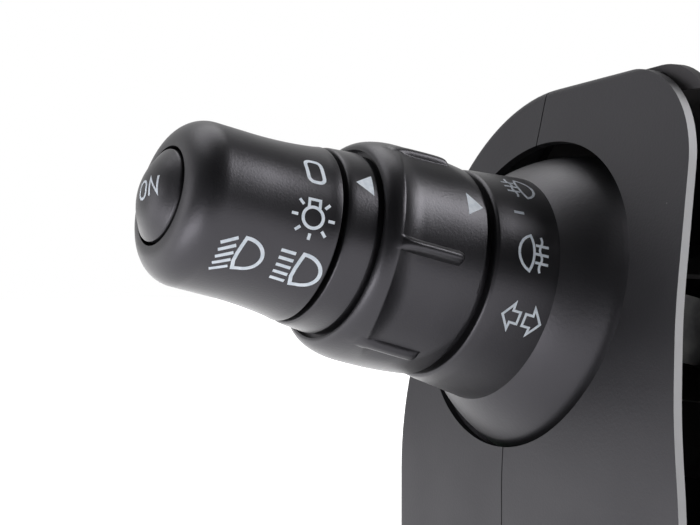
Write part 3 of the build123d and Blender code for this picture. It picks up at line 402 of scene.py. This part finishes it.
# ---- the push button -----------------------------------------------------------------------------------
BUTTON_RADIUS = 7.75
BUTTON_TOP, BUTTON_EDGE = NOSE + 4.1, NOSE + 1.0
CROWN_RADIUS = sagitta_radius(BUTTON_RADIUS, BUTTON_TOP - BUTTON_EDGE)
BUTTON_FLANGE = 9.4       # radius of the flange that holds the button in the knob
FLANGE_OUT, FLANGE_IN = NOSE - 6.8, NOSE - 8.2
BUTTON_FOOT = NOSE - 9.8
BUTTON_HOLLOW = 5.8
HOLLOW_TOP = BUTTON_EDGE - 1.2
EDGE_ROLL = 0.55
FACE_STEPS = 14


def crown_station(radius):
    """Station of the button's domed face."""
    return BUTTON_TOP - CROWN_RADIUS + sqrt(CROWN_RADIUS ** 2 - radius ** 2)


roll_radius = BUTTON_RADIUS - EDGE_ROLL
roll_slope = degrees(atan2(sqrt(CROWN_RADIUS ** 2 - roll_radius ** 2), roll_radius))
button_outline = []
for k in range(FACE_STEPS):
    radius = roll_radius * k / FACE_STEPS
    button_outline.append((radius, crown_station(radius)))
button_outline += arc((roll_radius, crown_station(roll_radius) - EDGE_ROLL), EDGE_ROLL, roll_slope, 0, 8)
button_outline += [(BUTTON_RADIUS, FLANGE_OUT), (BUTTON_FLANGE, FLANGE_OUT), (BUTTON_FLANGE, FLANGE_IN),
                   (BUTTON_RADIUS, FLANGE_IN), (BUTTON_RADIUS, BUTTON_FOOT), (BUTTON_HOLLOW, BUTTON_FOOT),
                   (BUTTON_HOLLOW, HOLLOW_TOP), (0, HOLLOW_TOP)]
button = new_piece("button", "button", lathe(button_outline), LEVER)
sharpen(button)
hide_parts("auto_button")

# ---- the index collar ------------------------------------------------------------------------------------
COLLAR_OUT, COLLAR_IN, COLLAR_RADIUS = 107.2, 102.1, 15.76
COLLAR_TAPER = 0.5
COLLAR_EDGE = 0.45
COLLAR_STEP = 0.9
COLLAR_BORE = 6.55
COLLAR_SPIGOT = 1.4       # how far the collar reaches into the ring
DRUM_RADIUS = 14.93       # of the core that the ring turns on


def collar_radius(station):
    """Outer radius of the collar, which narrows towards the knob."""
    return COLLAR_RADIUS - COLLAR_TAPER * (station - COLLAR_IN) / (COLLAR_OUT - COLLAR_IN)


collar_corner = COLLAR_RADIUS - COLLAR_TAPER - COLLAR_EDGE
collar_outline = [(COLLAR_BORE, COLLAR_OUT), (collar_corner, COLLAR_OUT)]
collar_outline += arc((collar_corner, COLLAR_OUT - COLLAR_EDGE), COLLAR_EDGE, 84, 6, 6)
for k in range(5, -1, -1):
    station = COLLAR_IN + k * COLLAR_STEP
    collar_outline.append((collar_radius(station), station))
collar_outline += [(DRUM_RADIUS, COLLAR_IN), (DRUM_RADIUS, COLLAR_IN - COLLAR_SPIGOT),
                   (COLLAR_BORE, COLLAR_IN - COLLAR_SPIGOT)]
collar = new_piece("collar", "lever", lathe(collar_outline), LEVER)
sharpen(collar)
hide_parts("index_collar")

# ---- the fog ring -----------------------------------------------------------------------------------------
RING_OUT, RING_IN = 101.3, 81.9
RING_BORE = DRUM_RADIUS + 0.07
SEAT_RADIUS = 15.55
SEAT_END = COLLAR_IN - 0.1
LIP_BORE = 16.45
LIP_GROOVE = RING_OUT - 1.2
# (station, radius) over the lip, down the barrel, down the floor of a grip panel and along a rib's back
LIP_LINE = [(101.3, 16.75), (101.22, 17.05), (101.0, 17.38), (100.7, 17.68), (100.3, 17.95), (99.8, 18.2),
            (99.2, 18.42), (98.6, 18.6)]
BARREL_LINE = [(98.6, 18.6), (97.4, 18.86), (95.8, 19.05), (94.0, 19.12), (91.5, 19.13), (89.0, 19.1),
               (86.5, 18.98), (84.0, 18.78), (81.9, 18.55)]
FLOOR_LINE = [(99.5, 18.95), (98.6, 18.45), (97.0, 17.85), (95.1, 17.5), (93.0, 17.5), (90.0, 17.62),
              (86.0, 17.85), (81.9, 18.05)]
RIB_LINE = [(98.6, 18.5), (97.4, 19.05), (95.4, 19.4), (92.5, 19.6), (89.5, 19.72), (87.6, 19.68),
            (86.9, 19.4), (86.45, 18.6)]
PANEL_MIDDLES = (radians(2.5), radians(182.5))
RIB_TURNS = (radians(-60), 0.0, radians(65))
PANEL_SHIFT = 2.5         # the floor of a panel is round about an axis this far behind the lever's
RIB_HALF = 1.3
RIB_END = 86.4
RIB_TIP = 0.8             # length over which a rib's end is rounded
RIB_CREST = 2.6           # power of the rib's cross-section: higher is flatter on top
RIB_FOOT = 18.5           # radius at which a rib's width is measured
RIB_STEP = 0.08
RIB_HALF_STEPS = 18
GAP_STEPS = 22
OUTSIDE_FROM = 16.9       # only the outside of the ring swells, not its bore
BARREL_FROM, BARREL_TO = 98.4, 82.2
BARREL_RUN = 0.2
BARREL_STATIONS = 81


def blend_below(value, width=0.12):
    """The value where it is negative, running softly into zero."""
    if value > width:
        return 0.0
    if value < -width:
        return value
    return -(width - value) ** 2 / (4 * width)


def along(line, station):
    """Radius at a station of a line, by a smooth curve through its points."""
    slopes = []
    for k in range(len(line)):
        low, high = line[max(k - 1, 0)], line[min(k + 1, len(line) - 1)]
        slopes.append((high[1] - low[1]) / (high[0] - low[0]))
    station = max(min(station, line[0][0]), line[-1][0])
    for k in range(len(line) - 1):
        (start, start_radius), (end, end_radius) = line[k], line[k + 1]
        if station >= end:
            break
    span = end - start
    t = (station - start) / span
    return ((1 + 2 * t) * (1 - t) ** 2 * start_radius + t * (1 - t) ** 2 * span * slopes[k]
            + t * t * (3 - 2 * t) * end_radius + t * t * (t - 1) * span * slopes[k + 1])


def ring_radius(station):
    """The ring's barrel."""
    if station > BARREL_LINE[0][0]:
        return along(LIP_LINE, station)
    return along(BARREL_LINE, station)


def turn_from(angle, middles):
    """Angle from the nearest of some angles."""
    turns = [(angle - middle + pi) % (2 * pi) - pi for middle in middles]
    return min(abs(turn) for turn in turns)


RIB_MIDDLES = [middle + turn for middle in PANEL_MIDDLES for turn in RIB_TURNS]


def floor_radius(station, turn):
    """Radius of a panel's floor at an angle from the panel's middle."""
    reach = along(FLOOR_LINE, station) + PANEL_SHIFT
    return sqrt(reach ** 2 - (PANEL_SHIFT * sin(turn)) ** 2) - PANEL_SHIFT * cos(turn)


def grip_swell(station, angle, radius):
    """How far the grip panels sink the barrel and the ribs lift it."""
    if radius < OUTSIDE_FROM or station > FLOOR_LINE[0][0] or station < RING_IN:
        return 0.0
    sunk = blend_below(floor_radius(station, turn_from(angle, PANEL_MIDDLES)) - radius)
    half = RIB_HALF
    if station < RIB_END + RIB_TIP:
        half -= RIB_TIP * (1 - sqrt(max(0.0, 1 - ((RIB_END + RIB_TIP - station) / RIB_TIP) ** 2)))
    across = turn_from(angle, RIB_MIDDLES) * RIB_FOOT
    if station < RIB_END or across > half:
        return sunk
    lift = max(0.0, along(RIB_LINE, station) - radius - sunk)
    return sunk + lift * (1 - (across / half) ** RIB_CREST)


def rib_and_gap(gap):
    """Angles across a rib and over the gap that follows it."""
    turns = [k * RIB_STEP / RIB_FOOT for k in range(-RIB_HALF_STEPS, RIB_HALF_STEPS + 1)]
    return turns + [turns[-1] + (gap - 2 * turns[-1]) * k / GAP_STEPS for k in range(1, GAP_STEPS)]


ring_angles = []
for k, middle in enumerate(RIB_MIDDLES):
    following = RIB_MIDDLES[(k + 1) % len(RIB_MIDDLES)]
    ring_angles += [middle + turn for turn in rib_and_gap((following - middle) % (2 * pi))]
ring_outline = [(radius, station) for station, radius in LIP_LINE]
for k in range(BARREL_STATIONS):
    station = BARREL_FROM - k * BARREL_RUN
    ring_outline.append((ring_radius(station), station))
ring_outline += [(ring_radius(BARREL_TO) - 0.02, BARREL_TO), (ring_radius(RING_IN) - 0.15, RING_IN + 0.04),
                 (ring_radius(RING_IN) - 0.45, RING_IN), (RING_BORE, RING_IN), (RING_BORE, SEAT_END),
                 (SEAT_RADIUS, SEAT_END), (SEAT_RADIUS, LIP_GROOVE), (LIP_BORE, LIP_GROOVE),
                 (LIP_BORE, RING_OUT)]
ring_mesh = lathe(ring_outline, swell=grip_swell, angles=ring_angles)
ring = new_piece("ring", "ring", ring_mesh, LEVER)
sharpen(ring, 40)
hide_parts("fog_ring")

# ---- the base collar and the dome -----------------------------------------------------------------------
DOME_CENTRE, DOME_RADIUS, DOME_WALL = 48.0, 28.64, 1.8
DOME_SKIRT = 51.5
BASE_TIP, BASE_RADIUS = 18.7, 20.2
BASE_IN = DOME_CENTRE + sqrt(DOME_RADIUS ** 2 - BASE_RADIUS ** 2)      # where the base meets the dome
BASE_OUT = BASE_IN + 11.8
BASE_EDGE = 0.7
BASE_WALL = 2
BASE_PLATE = BASE_OUT - 2.6
BASE_BORE = DRUM_RADIUS + 0.02
SPIGOT_RADIUS, SPIGOT_END = 16.6, BASE_OUT + 0.9


def base_radius(station):
    """Outer radius of the base collar, which narrows towards the ring."""
    return BASE_RADIUS + (BASE_TIP - BASE_RADIUS) * (station - BASE_IN) / (BASE_OUT - BASE_IN)


base_outline = [(BASE_BORE, SPIGOT_END), (SPIGOT_RADIUS, SPIGOT_END), (SPIGOT_RADIUS, BASE_OUT)]
base_outline += arc((BASE_TIP - BASE_EDGE, BASE_OUT - BASE_EDGE), BASE_EDGE, 90, 4, 8)
for k in range(1, 10):
    station = BASE_OUT - BASE_EDGE - k * BARREL_STEP
    base_outline.append((base_radius(station), station))
base_outline += [(BASE_RADIUS, BASE_IN), (BASE_RADIUS - BASE_WALL, BASE_IN),
                 (BASE_TIP - BASE_WALL, BASE_PLATE), (BASE_BORE, BASE_PLATE)]
base = new_piece("base", "lever", lathe(base_outline), LEVER)
sharpen(base)
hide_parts("base_collar")

dome_top = degrees(atan2(BASE_IN - DOME_CENTRE, BASE_RADIUS))
dome_foot = degrees(asin((DOME_SKIRT - DOME_CENTRE) / DOME_RADIUS))
dome_inner = DOME_RADIUS - DOME_WALL
dome_outline = arc((0, DOME_CENTRE), DOME_RADIUS, dome_foot, dome_top, 36)
dome_outline += [(DRUM_RADIUS, BASE_IN), (DRUM_RADIUS, BASE_IN - DOME_WALL)]
inner_top = degrees(acos(sqrt(dome_inner ** 2 - (BASE_IN - DOME_WALL - DOME_CENTRE) ** 2) / dome_inner))
inner_foot = degrees(asin((DOME_SKIRT - DOME_CENTRE) / dome_inner))
dome_outline += arc((0, DOME_CENTRE), dome_inner, inner_top, inner_foot, 30)
dome = new_piece("dome", "lever", lathe(dome_outline), DOME)
sharpen(dome)
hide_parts("dome_shield")

# ---- the coils: a round-wire spring for each, on the body that carries it -------------------------------
WIRE_SIDES = 10
TURN_STEPS = 28


def coil(radius, wire, low, high, turns):
    """Round-wire compression spring about the lever's axis, between two stations."""
    bm = bmesh.new()
    rise = high - low - 2 * wire
    around = [2 * pi * side / WIRE_SIDES for side in range(WIRE_SIDES)]
    rings = []
    for step in range(turns * TURN_STEPS + 1):
        middle = low + wire + rise * step / (turns * TURN_STEPS)
        angle = 2 * pi * step / TURN_STEPS
        rings.append([bm.verts.new(place(middle + wire * sin(turn), radius + wire * cos(turn), angle))
                      for turn in around])
    for one, two in zip(rings, rings[1:]):
        for side in range(WIRE_SIDES):
            other = (side + 1) % WIRE_SIDES
            bm.faces.new((one[side], one[other], two[other], two[side]))
    bm.faces.new(rings[0])
    bm.faces.new(rings[-1])
    return bm


# node, body that carries it, joint that shortens it, coil's and wire's radius, inner and outer station,
# number of turns, and travel
for node, body, joint, radius, wire, low, high, turns, travel in (
        ("button_spring", "button", "button_press", 4.1, 0.35, 114.4, 132.3, 5, 1.4),
        ("plunger_spring", "lever", "plunger_slide", 1.6, 0.25, 39.55, 42.45, 3, 0.8)):
    spring = new_piece(node + "_coil", body, coil(radius, wire, low, high, turns), SPRING)
    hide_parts(node)
    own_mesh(spring)

# ---- the symbols: strokes laid on a surface, each drawn about its own middle ------------------------------
INK_RAISE = 0.045         # height of the ink above the surface
INK_DEPTH = 0.09          # its whole thickness
STROKE_STEP = 0.45        # longest straight run along a stroke
STROKE_COLUMNS = 5        # points across a stroke
SHARPEST_MITRE = 0.35
TRIANGLE_STEPS = 9
TRIANGLE_TIP = 0.04       # share of a triangle that its tip lacks


def offset_sides(points, width, closed):
    """Left and right edge of a stroke, mitred at its corners."""
    sides = []
    count = len(points)
    for k, point in enumerate(points):
        before = points[k - 1] if k > 0 or closed else None
        after = points[(k + 1) % count] if k < count - 1 or closed else None
        runs = []
        for start, end in ((before, point), (point, after)):
            if start is None or end is None:
                continue
            length = hypot(end[0] - start[0], end[1] - start[1])
            runs.append(((end[0] - start[0]) / length, (end[1] - start[1]) / length))
        normal = (-sum(run[1] for run in runs), sum(run[0] for run in runs))
        size = hypot(*normal)
        normal = (normal[0] / size, normal[1] / size)
        facing = -runs[0][1] * normal[0] + runs[0][0] * normal[1]
        reach = width / 2 / max(facing, SHARPEST_MITRE)
        sides.append(((point[0] + normal[0] * reach, point[1] + normal[1] * reach),
                      (point[0] - normal[0] * reach, point[1] - normal[1] * reach)))
    return sides


def between(start, end, share):
    """Point at a share of the way from one point to another."""
    return (start[0] + (end[0] - start[0]) * share, start[1] + (end[1] - start[1]) * share)


def stroke(points, width, closed=False):
    """Rows of (left, right) points along a stroke, close enough together to follow the surface."""
    sides = offset_sides(points, width, closed)
    if closed:
        sides.append(sides[0])
    rows = [sides[0]]
    for low, high in zip(sides, sides[1:]):
        length = hypot(high[0][0] - low[0][0], high[0][1] - low[0][1])
        steps = max(1, ceil(length / STROKE_STEP))
        for step in range(1, steps + 1):
            rows.append((between(low[0], high[0], step / steps), between(low[1], high[1], step / steps)))
    return rows


def filled(tip, left, right):
    """Rows across a filled triangle."""
    rows = []
    for step in range(TRIANGLE_STEPS + 1):
        share = TRIANGLE_TIP + (1 - TRIANGLE_TIP) * step / TRIANGLE_STEPS
        rows.append((between(tip, left, share), between(tip, right, share)))
    return rows


def print_symbol(name, body, strokes, on_surface, material):
    """Joins strokes into one thin piece; on_surface gives the point at (x, y) raised by a height."""
    bm = bmesh.new()
    last = STROKE_COLUMNS - 1
    for rows in strokes:
        grids = []
        for height in (INK_RAISE, INK_RAISE - INK_DEPTH):
            grid = []
            for left, right in rows:
                grid.append([bm.verts.new(on_surface(*between(left, right, c / last), height))
                             for c in range(STROKE_COLUMNS)])
            grids.append(grid)
        top, low = grids
        for r in range(len(rows) - 1):
            for c in range(last):
                bm.faces.new((top[r][c], top[r][c + 1], top[r + 1][c + 1], top[r + 1][c]))
                bm.faces.new((low[r + 1][c], low[r + 1][c + 1], low[r][c + 1], low[r][c]))
            for c, turn in ((0, 1), (last, -1)):
                wall = (top[r][c], top[r + 1][c], low[r + 1][c], low[r][c])
                bm.faces.new(wall[::turn])
        for r, turn in ((0, -1), (len(rows) - 1, 1)):
            for c in range(last):
                wall = (top[r][c], top[r][c + 1], low[r][c + 1], low[r][c])
                bm.faces.new(wall[::turn])
    return new_piece(name, body, bm, material, smooth=False)


def on_barrel(radius_at, back, angle, size):
    """Surface for a symbol that lies so far back and at such an angle (degrees): x along the lever towards
    the housing, y upwards; size is the radius by which y turns into an angle."""
    def at(x, y, height):
        station = PRINT_FROM - back - x
        radius = radius_at(station)
        return place(station, radius + height, radians(angle) + y / size)
    return at


def rounded_box(width, height, corner, lean=0.0):
    """Closed outline of a box with round corners, leaning sideways with its height."""
    points = []
    for cx, cy, start in ((1, 1, 0), (-1, 1, 90), (-1, -1, 180), (1, -1, 270)):
        middle = (cx * (width / 2 - corner), cy * (height / 2 - corner))
        points += arc(middle, corner, start, start + 90, 4)
    return [(x + y * lean, y) for x, y in points]


LINE = 0.62               # width of the knob's strokes
FINE_LINE = 0.42          # width of the finest strokes
KNOB_SIZE = 14.6          # radius by which a symbol's height turns into an angle, here and in the other SIZEs
KNOB_NOSE_SIZE = 13.95

off_mark = [stroke(rounded_box(2.75, 4.6, 0.95, -0.08), LINE, True)]
print_symbol("mark_off", "knob", off_mark, on_barrel(knob_radius, 20.6, 38.9, KNOB_SIZE), INK)

bulb = [stroke(arc((0, 0), 1.75, 0, 350, 30), 0.52, True)]
bulb += [stroke([(-0.95, 1.65), (-0.95, 3.05), (0.95, 3.05), (0.95, 1.65)], 0.48)]
for ray in (45, 0, -45, -90, -135, 180, 135):
    turn = radians(ray)
    bulb.append(stroke([(2.65 * cos(turn), 2.65 * sin(turn)), (3.75 * cos(turn), 3.75 * sin(turn))], 0.5))
print_symbol("mark_side_lights", "knob", bulb, on_barrel(knob_radius, 20.4, 4.8, KNOB_SIZE), INK)


def beam(fall, lead):
    """Lamp outline with five lines to its left; fall slopes the lines, lead shifts the lower ones."""
    lamp_points = [(0.35, 2.85)] + [(0.75 + 3.35 * cos(radians(a)), 0.1 + 2.75 * sin(radians(a)))
                                    for a in range(84, -85, -7)] + [(0.2, -2.85)]
    lamp_points += [(-0.25, -1.4), (-0.22, 0.0), (0.0, 1.4)]
    lines = []
    for row in range(5):
        y = 2.55 - row * 1.32
        x = -1.05 + lead * row
        lines.append(stroke([(x - 2.6, y - fall), (x, y)], 0.56))
    return [stroke(lamp_points, LINE, True)] + lines


print_symbol("mark_low_beam", "knob", beam(1.5, 0.1),
             on_barrel(knob_radius, 10.0, -31.2, KNOB_NOSE_SIZE), INK)
print_symbol("mark_high_beam", "knob", beam(0.0, 0.05),
             on_barrel(knob_radius, 20.3, -30.8, KNOB_SIZE), INK)

COLLAR_SIZE = 15.6
index_mark = [filled((-1.55, 0.0), (1.55, 2.1), (1.55, -2.1))]
print_symbol("mark_index", "lever", index_mark, on_barrel(collar_radius, 29.2, 36.1, COLLAR_SIZE), INK)

RING_SIZE = 18.1
RING_MARK_BACK = 49.5
RING_MARK_ANGLE = radians(35.7)


def on_panel(x, y, height):
    """Surface of the ring about its mark, drawn like on_barrel's symbols."""
    station = PRINT_FROM - RING_MARK_BACK - x
    angle = RING_MARK_ANGLE + y / RING_SIZE
    radius = ring_radius(station)
    return place(station, radius + grip_swell(station, angle, radius) + height, angle)


ring_mark = [filled((1.5, -0.2), (-1.5, 2.2), (-1.5, -2.2))]
print_symbol("mark_ring", "ring", ring_mark, on_panel, INK)

BASE_SIZE = 19.2
REAR_FOG_LINE = 0.45
dash = [stroke([(-0.95, 0.0), (0.95, 0.0)], 0.55)]
print_symbol("mark_dash", "lever", dash, on_barrel(base_radius, 58.0, 36.9, BASE_SIZE), INK_WORN)


def fog(side, line):
    """Fog lamp: a lens outline and three lines crossed by a wave; side is where the lines are."""
    lens = [(0.0, 3.1), (0.32, 2.35), (0.55, 1.6), (0.66, 0.8), (0.7, 0.0), (0.66, -0.8), (0.55, -1.6),
            (0.32, -2.35), (0.0, -3.1), (-0.75, -2.72), (-1.4, -2.12), (-1.9, -1.25), (-2.12, -0.4),
            (-2.12, 0.4), (-1.9, 1.25), (-1.4, 2.12), (-0.75, 2.72)]
    wave = [(1.95 + 0.22 * sin(radians(k * 30)), 3.1 - k * 6.2 / 24) for k in range(25)]
    lines = [[(0.95, y), (3.4, y)] for y in (1.5, 0.0, -1.5)]
    shapes = [stroke([(side * x, y) for x, y in lens], line, True)]
    shapes.append(stroke([(side * x, y) for x, y in wave], line * 0.9))
    shapes += [stroke([(side * x, y) for x, y in points], line) for points in lines]
    return shapes


print_symbol("mark_rear_fog", "lever", fog(1, REAR_FOG_LINE),
             on_barrel(base_radius, 59.6, 14.6, BASE_SIZE), INK)
print_symbol("mark_front_fog", "lever", fog(-1, FINE_LINE),
             on_barrel(base_radius, 60.9, 58.4, BASE_SIZE), INK_WORN)

arrow = [(0.0, 0.0), (1.7, 2.26), (1.7, 1.03), (3.1, 1.03), (3.1, -1.03), (1.7, -1.03), (1.7, -2.26)]
arrows = [stroke([(side * (-3.62 + x), y) for x, y in arrow], FINE_LINE, True) for side in (1, -1)]
print_symbol("mark_turn_signals", "lever", arrows, on_barrel(base_radius, 60.5, -18.8, BASE_SIZE), INK)

WORD_TURN = radians(17)


def on_button(x, y, height):
    """Point on the button's face; x is the reading direction."""
    radius = hypot(x, y)
    angle = WORD_TURN + atan2(y, x)
    return place(crown_station(radius) + height, radius, angle)


LETTER = 3.0              # height of the button's two letters
WORD_SHIFT = 1.6
letter_o = [(x - 1.45 + WORD_SHIFT, y) for x, y in rounded_box(2.0, LETTER, 0.98)]
letter_n = [(x + WORD_SHIFT, y * LETTER / 2) for x, y in ((0.5, -1), (0.5, 1), (2.3, -1), (2.3, 1))]
word = [stroke(letter_o, FINE_LINE, True), stroke(letter_n, FINE_LINE)]
print_symbol("mark_on", "button", word, on_button, INK_WORN)

# ---- world: white to the camera; gloss shows a white wall behind and a dark room in front -----------------
ROOM, WALL = 0.035, 0.85
world = bpy.data.worlds.new("world")
bpy.context.scene.world = world
world.use_nodes = True
world_tree = world.node_tree
background = world_tree.nodes["Background"]
background.inputs["Color"].default_value = (1, 1, 1, 1)
world_path = world_tree.nodes.new("ShaderNodeLightPath")
toward = world_tree.nodes.new("ShaderNodeTexCoord")
toward_parts = world_tree.nodes.new("ShaderNodeSeparateXYZ")
world_tree.links.new(toward.outputs["Generated"], toward_parts.inputs["Vector"])
wall = remap(world_tree, toward_parts.outputs["Y"], 0.0, 0.9, ROOM, WALL, "SMOOTHSTEP")
strength = maths(world_tree, "MAXIMUM", world_path.outputs["Is Camera Ray"], wall)
world_tree.links.new(strength, background.inputs["Strength"])

# ---- floor: a pale table that runs out to white, and shines up into the gloss -----------------------------
FLOOR_Z = cad_low[2] - 0.0005
FLOOR_HALF = 3
GLOW_NEAR, GLOW_FAR = 0.12, 0.45      # distances between which the table turns white, in metres
GLOW_LEAST = 0.45
GLOSS_GLOW = 1.35
bm = bmesh.new()
for x, y in ((-1, -1), (1, -1), (1, 1), (-1, 1)):
    bm.verts.new((x * FLOOR_HALF, y * FLOOR_HALF, FLOOR_Z))
bm.faces.new(bm.verts)
floor_mesh = bpy.data.meshes.new("floor")
bm.to_mesh(floor_mesh)
bm.free()
floor = bpy.data.objects.new("floor", floor_mesh)
bpy.context.scene.collection.objects.link(floor)
floor_material, floor_tree, floor_shader = principled("floor", 0.9, 0.0)
floor_shader.inputs["Base Color"].default_value = (0.88, 0.88, 0.88, 1)
floor_shader.inputs["Emission Color"].default_value = (1, 1, 1, 1)
floor_path = floor_tree.nodes.new("ShaderNodeLightPath")
floor_place = floor_tree.nodes.new("ShaderNodeTexCoord")
floor_reach = floor_tree.nodes.new("ShaderNodeVectorMath")
floor_reach.operation = "LENGTH"
floor_tree.links.new(floor_place.outputs["Object"], floor_reach.inputs[0])
glow = remap(floor_tree, floor_reach.outputs["Value"], GLOW_NEAR, GLOW_FAR, GLOW_LEAST, 1.0)
seen_glow = maths(floor_tree, "MULTIPLY", glow, floor_path.outputs["Is Camera Ray"])
all_glow = maths(floor_tree, "MULTIPLY_ADD", floor_path.outputs["Is Glossy Ray"], GLOSS_GLOW, seen_glow)
floor_tree.links.new(all_glow, floor_shader.inputs["Emission Strength"])
floor_mesh.materials.append(floor_material)


def lamp(name, spot, target, size, power):
    """Square-edged soft lamp at a spot, aimed at a target; metres and watts."""
    data = bpy.data.lights.new(name, "AREA")
    data.shape = "RECTANGLE"
    data.size, data.size_y = size
    data.energy = power
    light = bpy.data.objects.new(name, data)
    light.location = spot
    light.rotation_euler = (Vector(target) - Vector(spot)).to_track_quat("-Z", "Y").to_euler()
    bpy.context.scene.collection.objects.link(light)


lamp("top", (-0.10, 0.30, 0.75), (-0.07, 0, 0.0), (0.8, 0.5), 3.0)
lamp("right", (0.70, -0.42, 0.60), (0.0, 0, 0.0), (0.5, 0.6), 8.0)
lamp("left", (-0.85, 0.35, 0.10), (-0.07, 0, 0.0), (0.4, 0.6), 2.0)
lamp("low", (-0.30, -0.06, -0.035), (-0.11, 0, 0.0), (0.16, 0.10), 0.35)
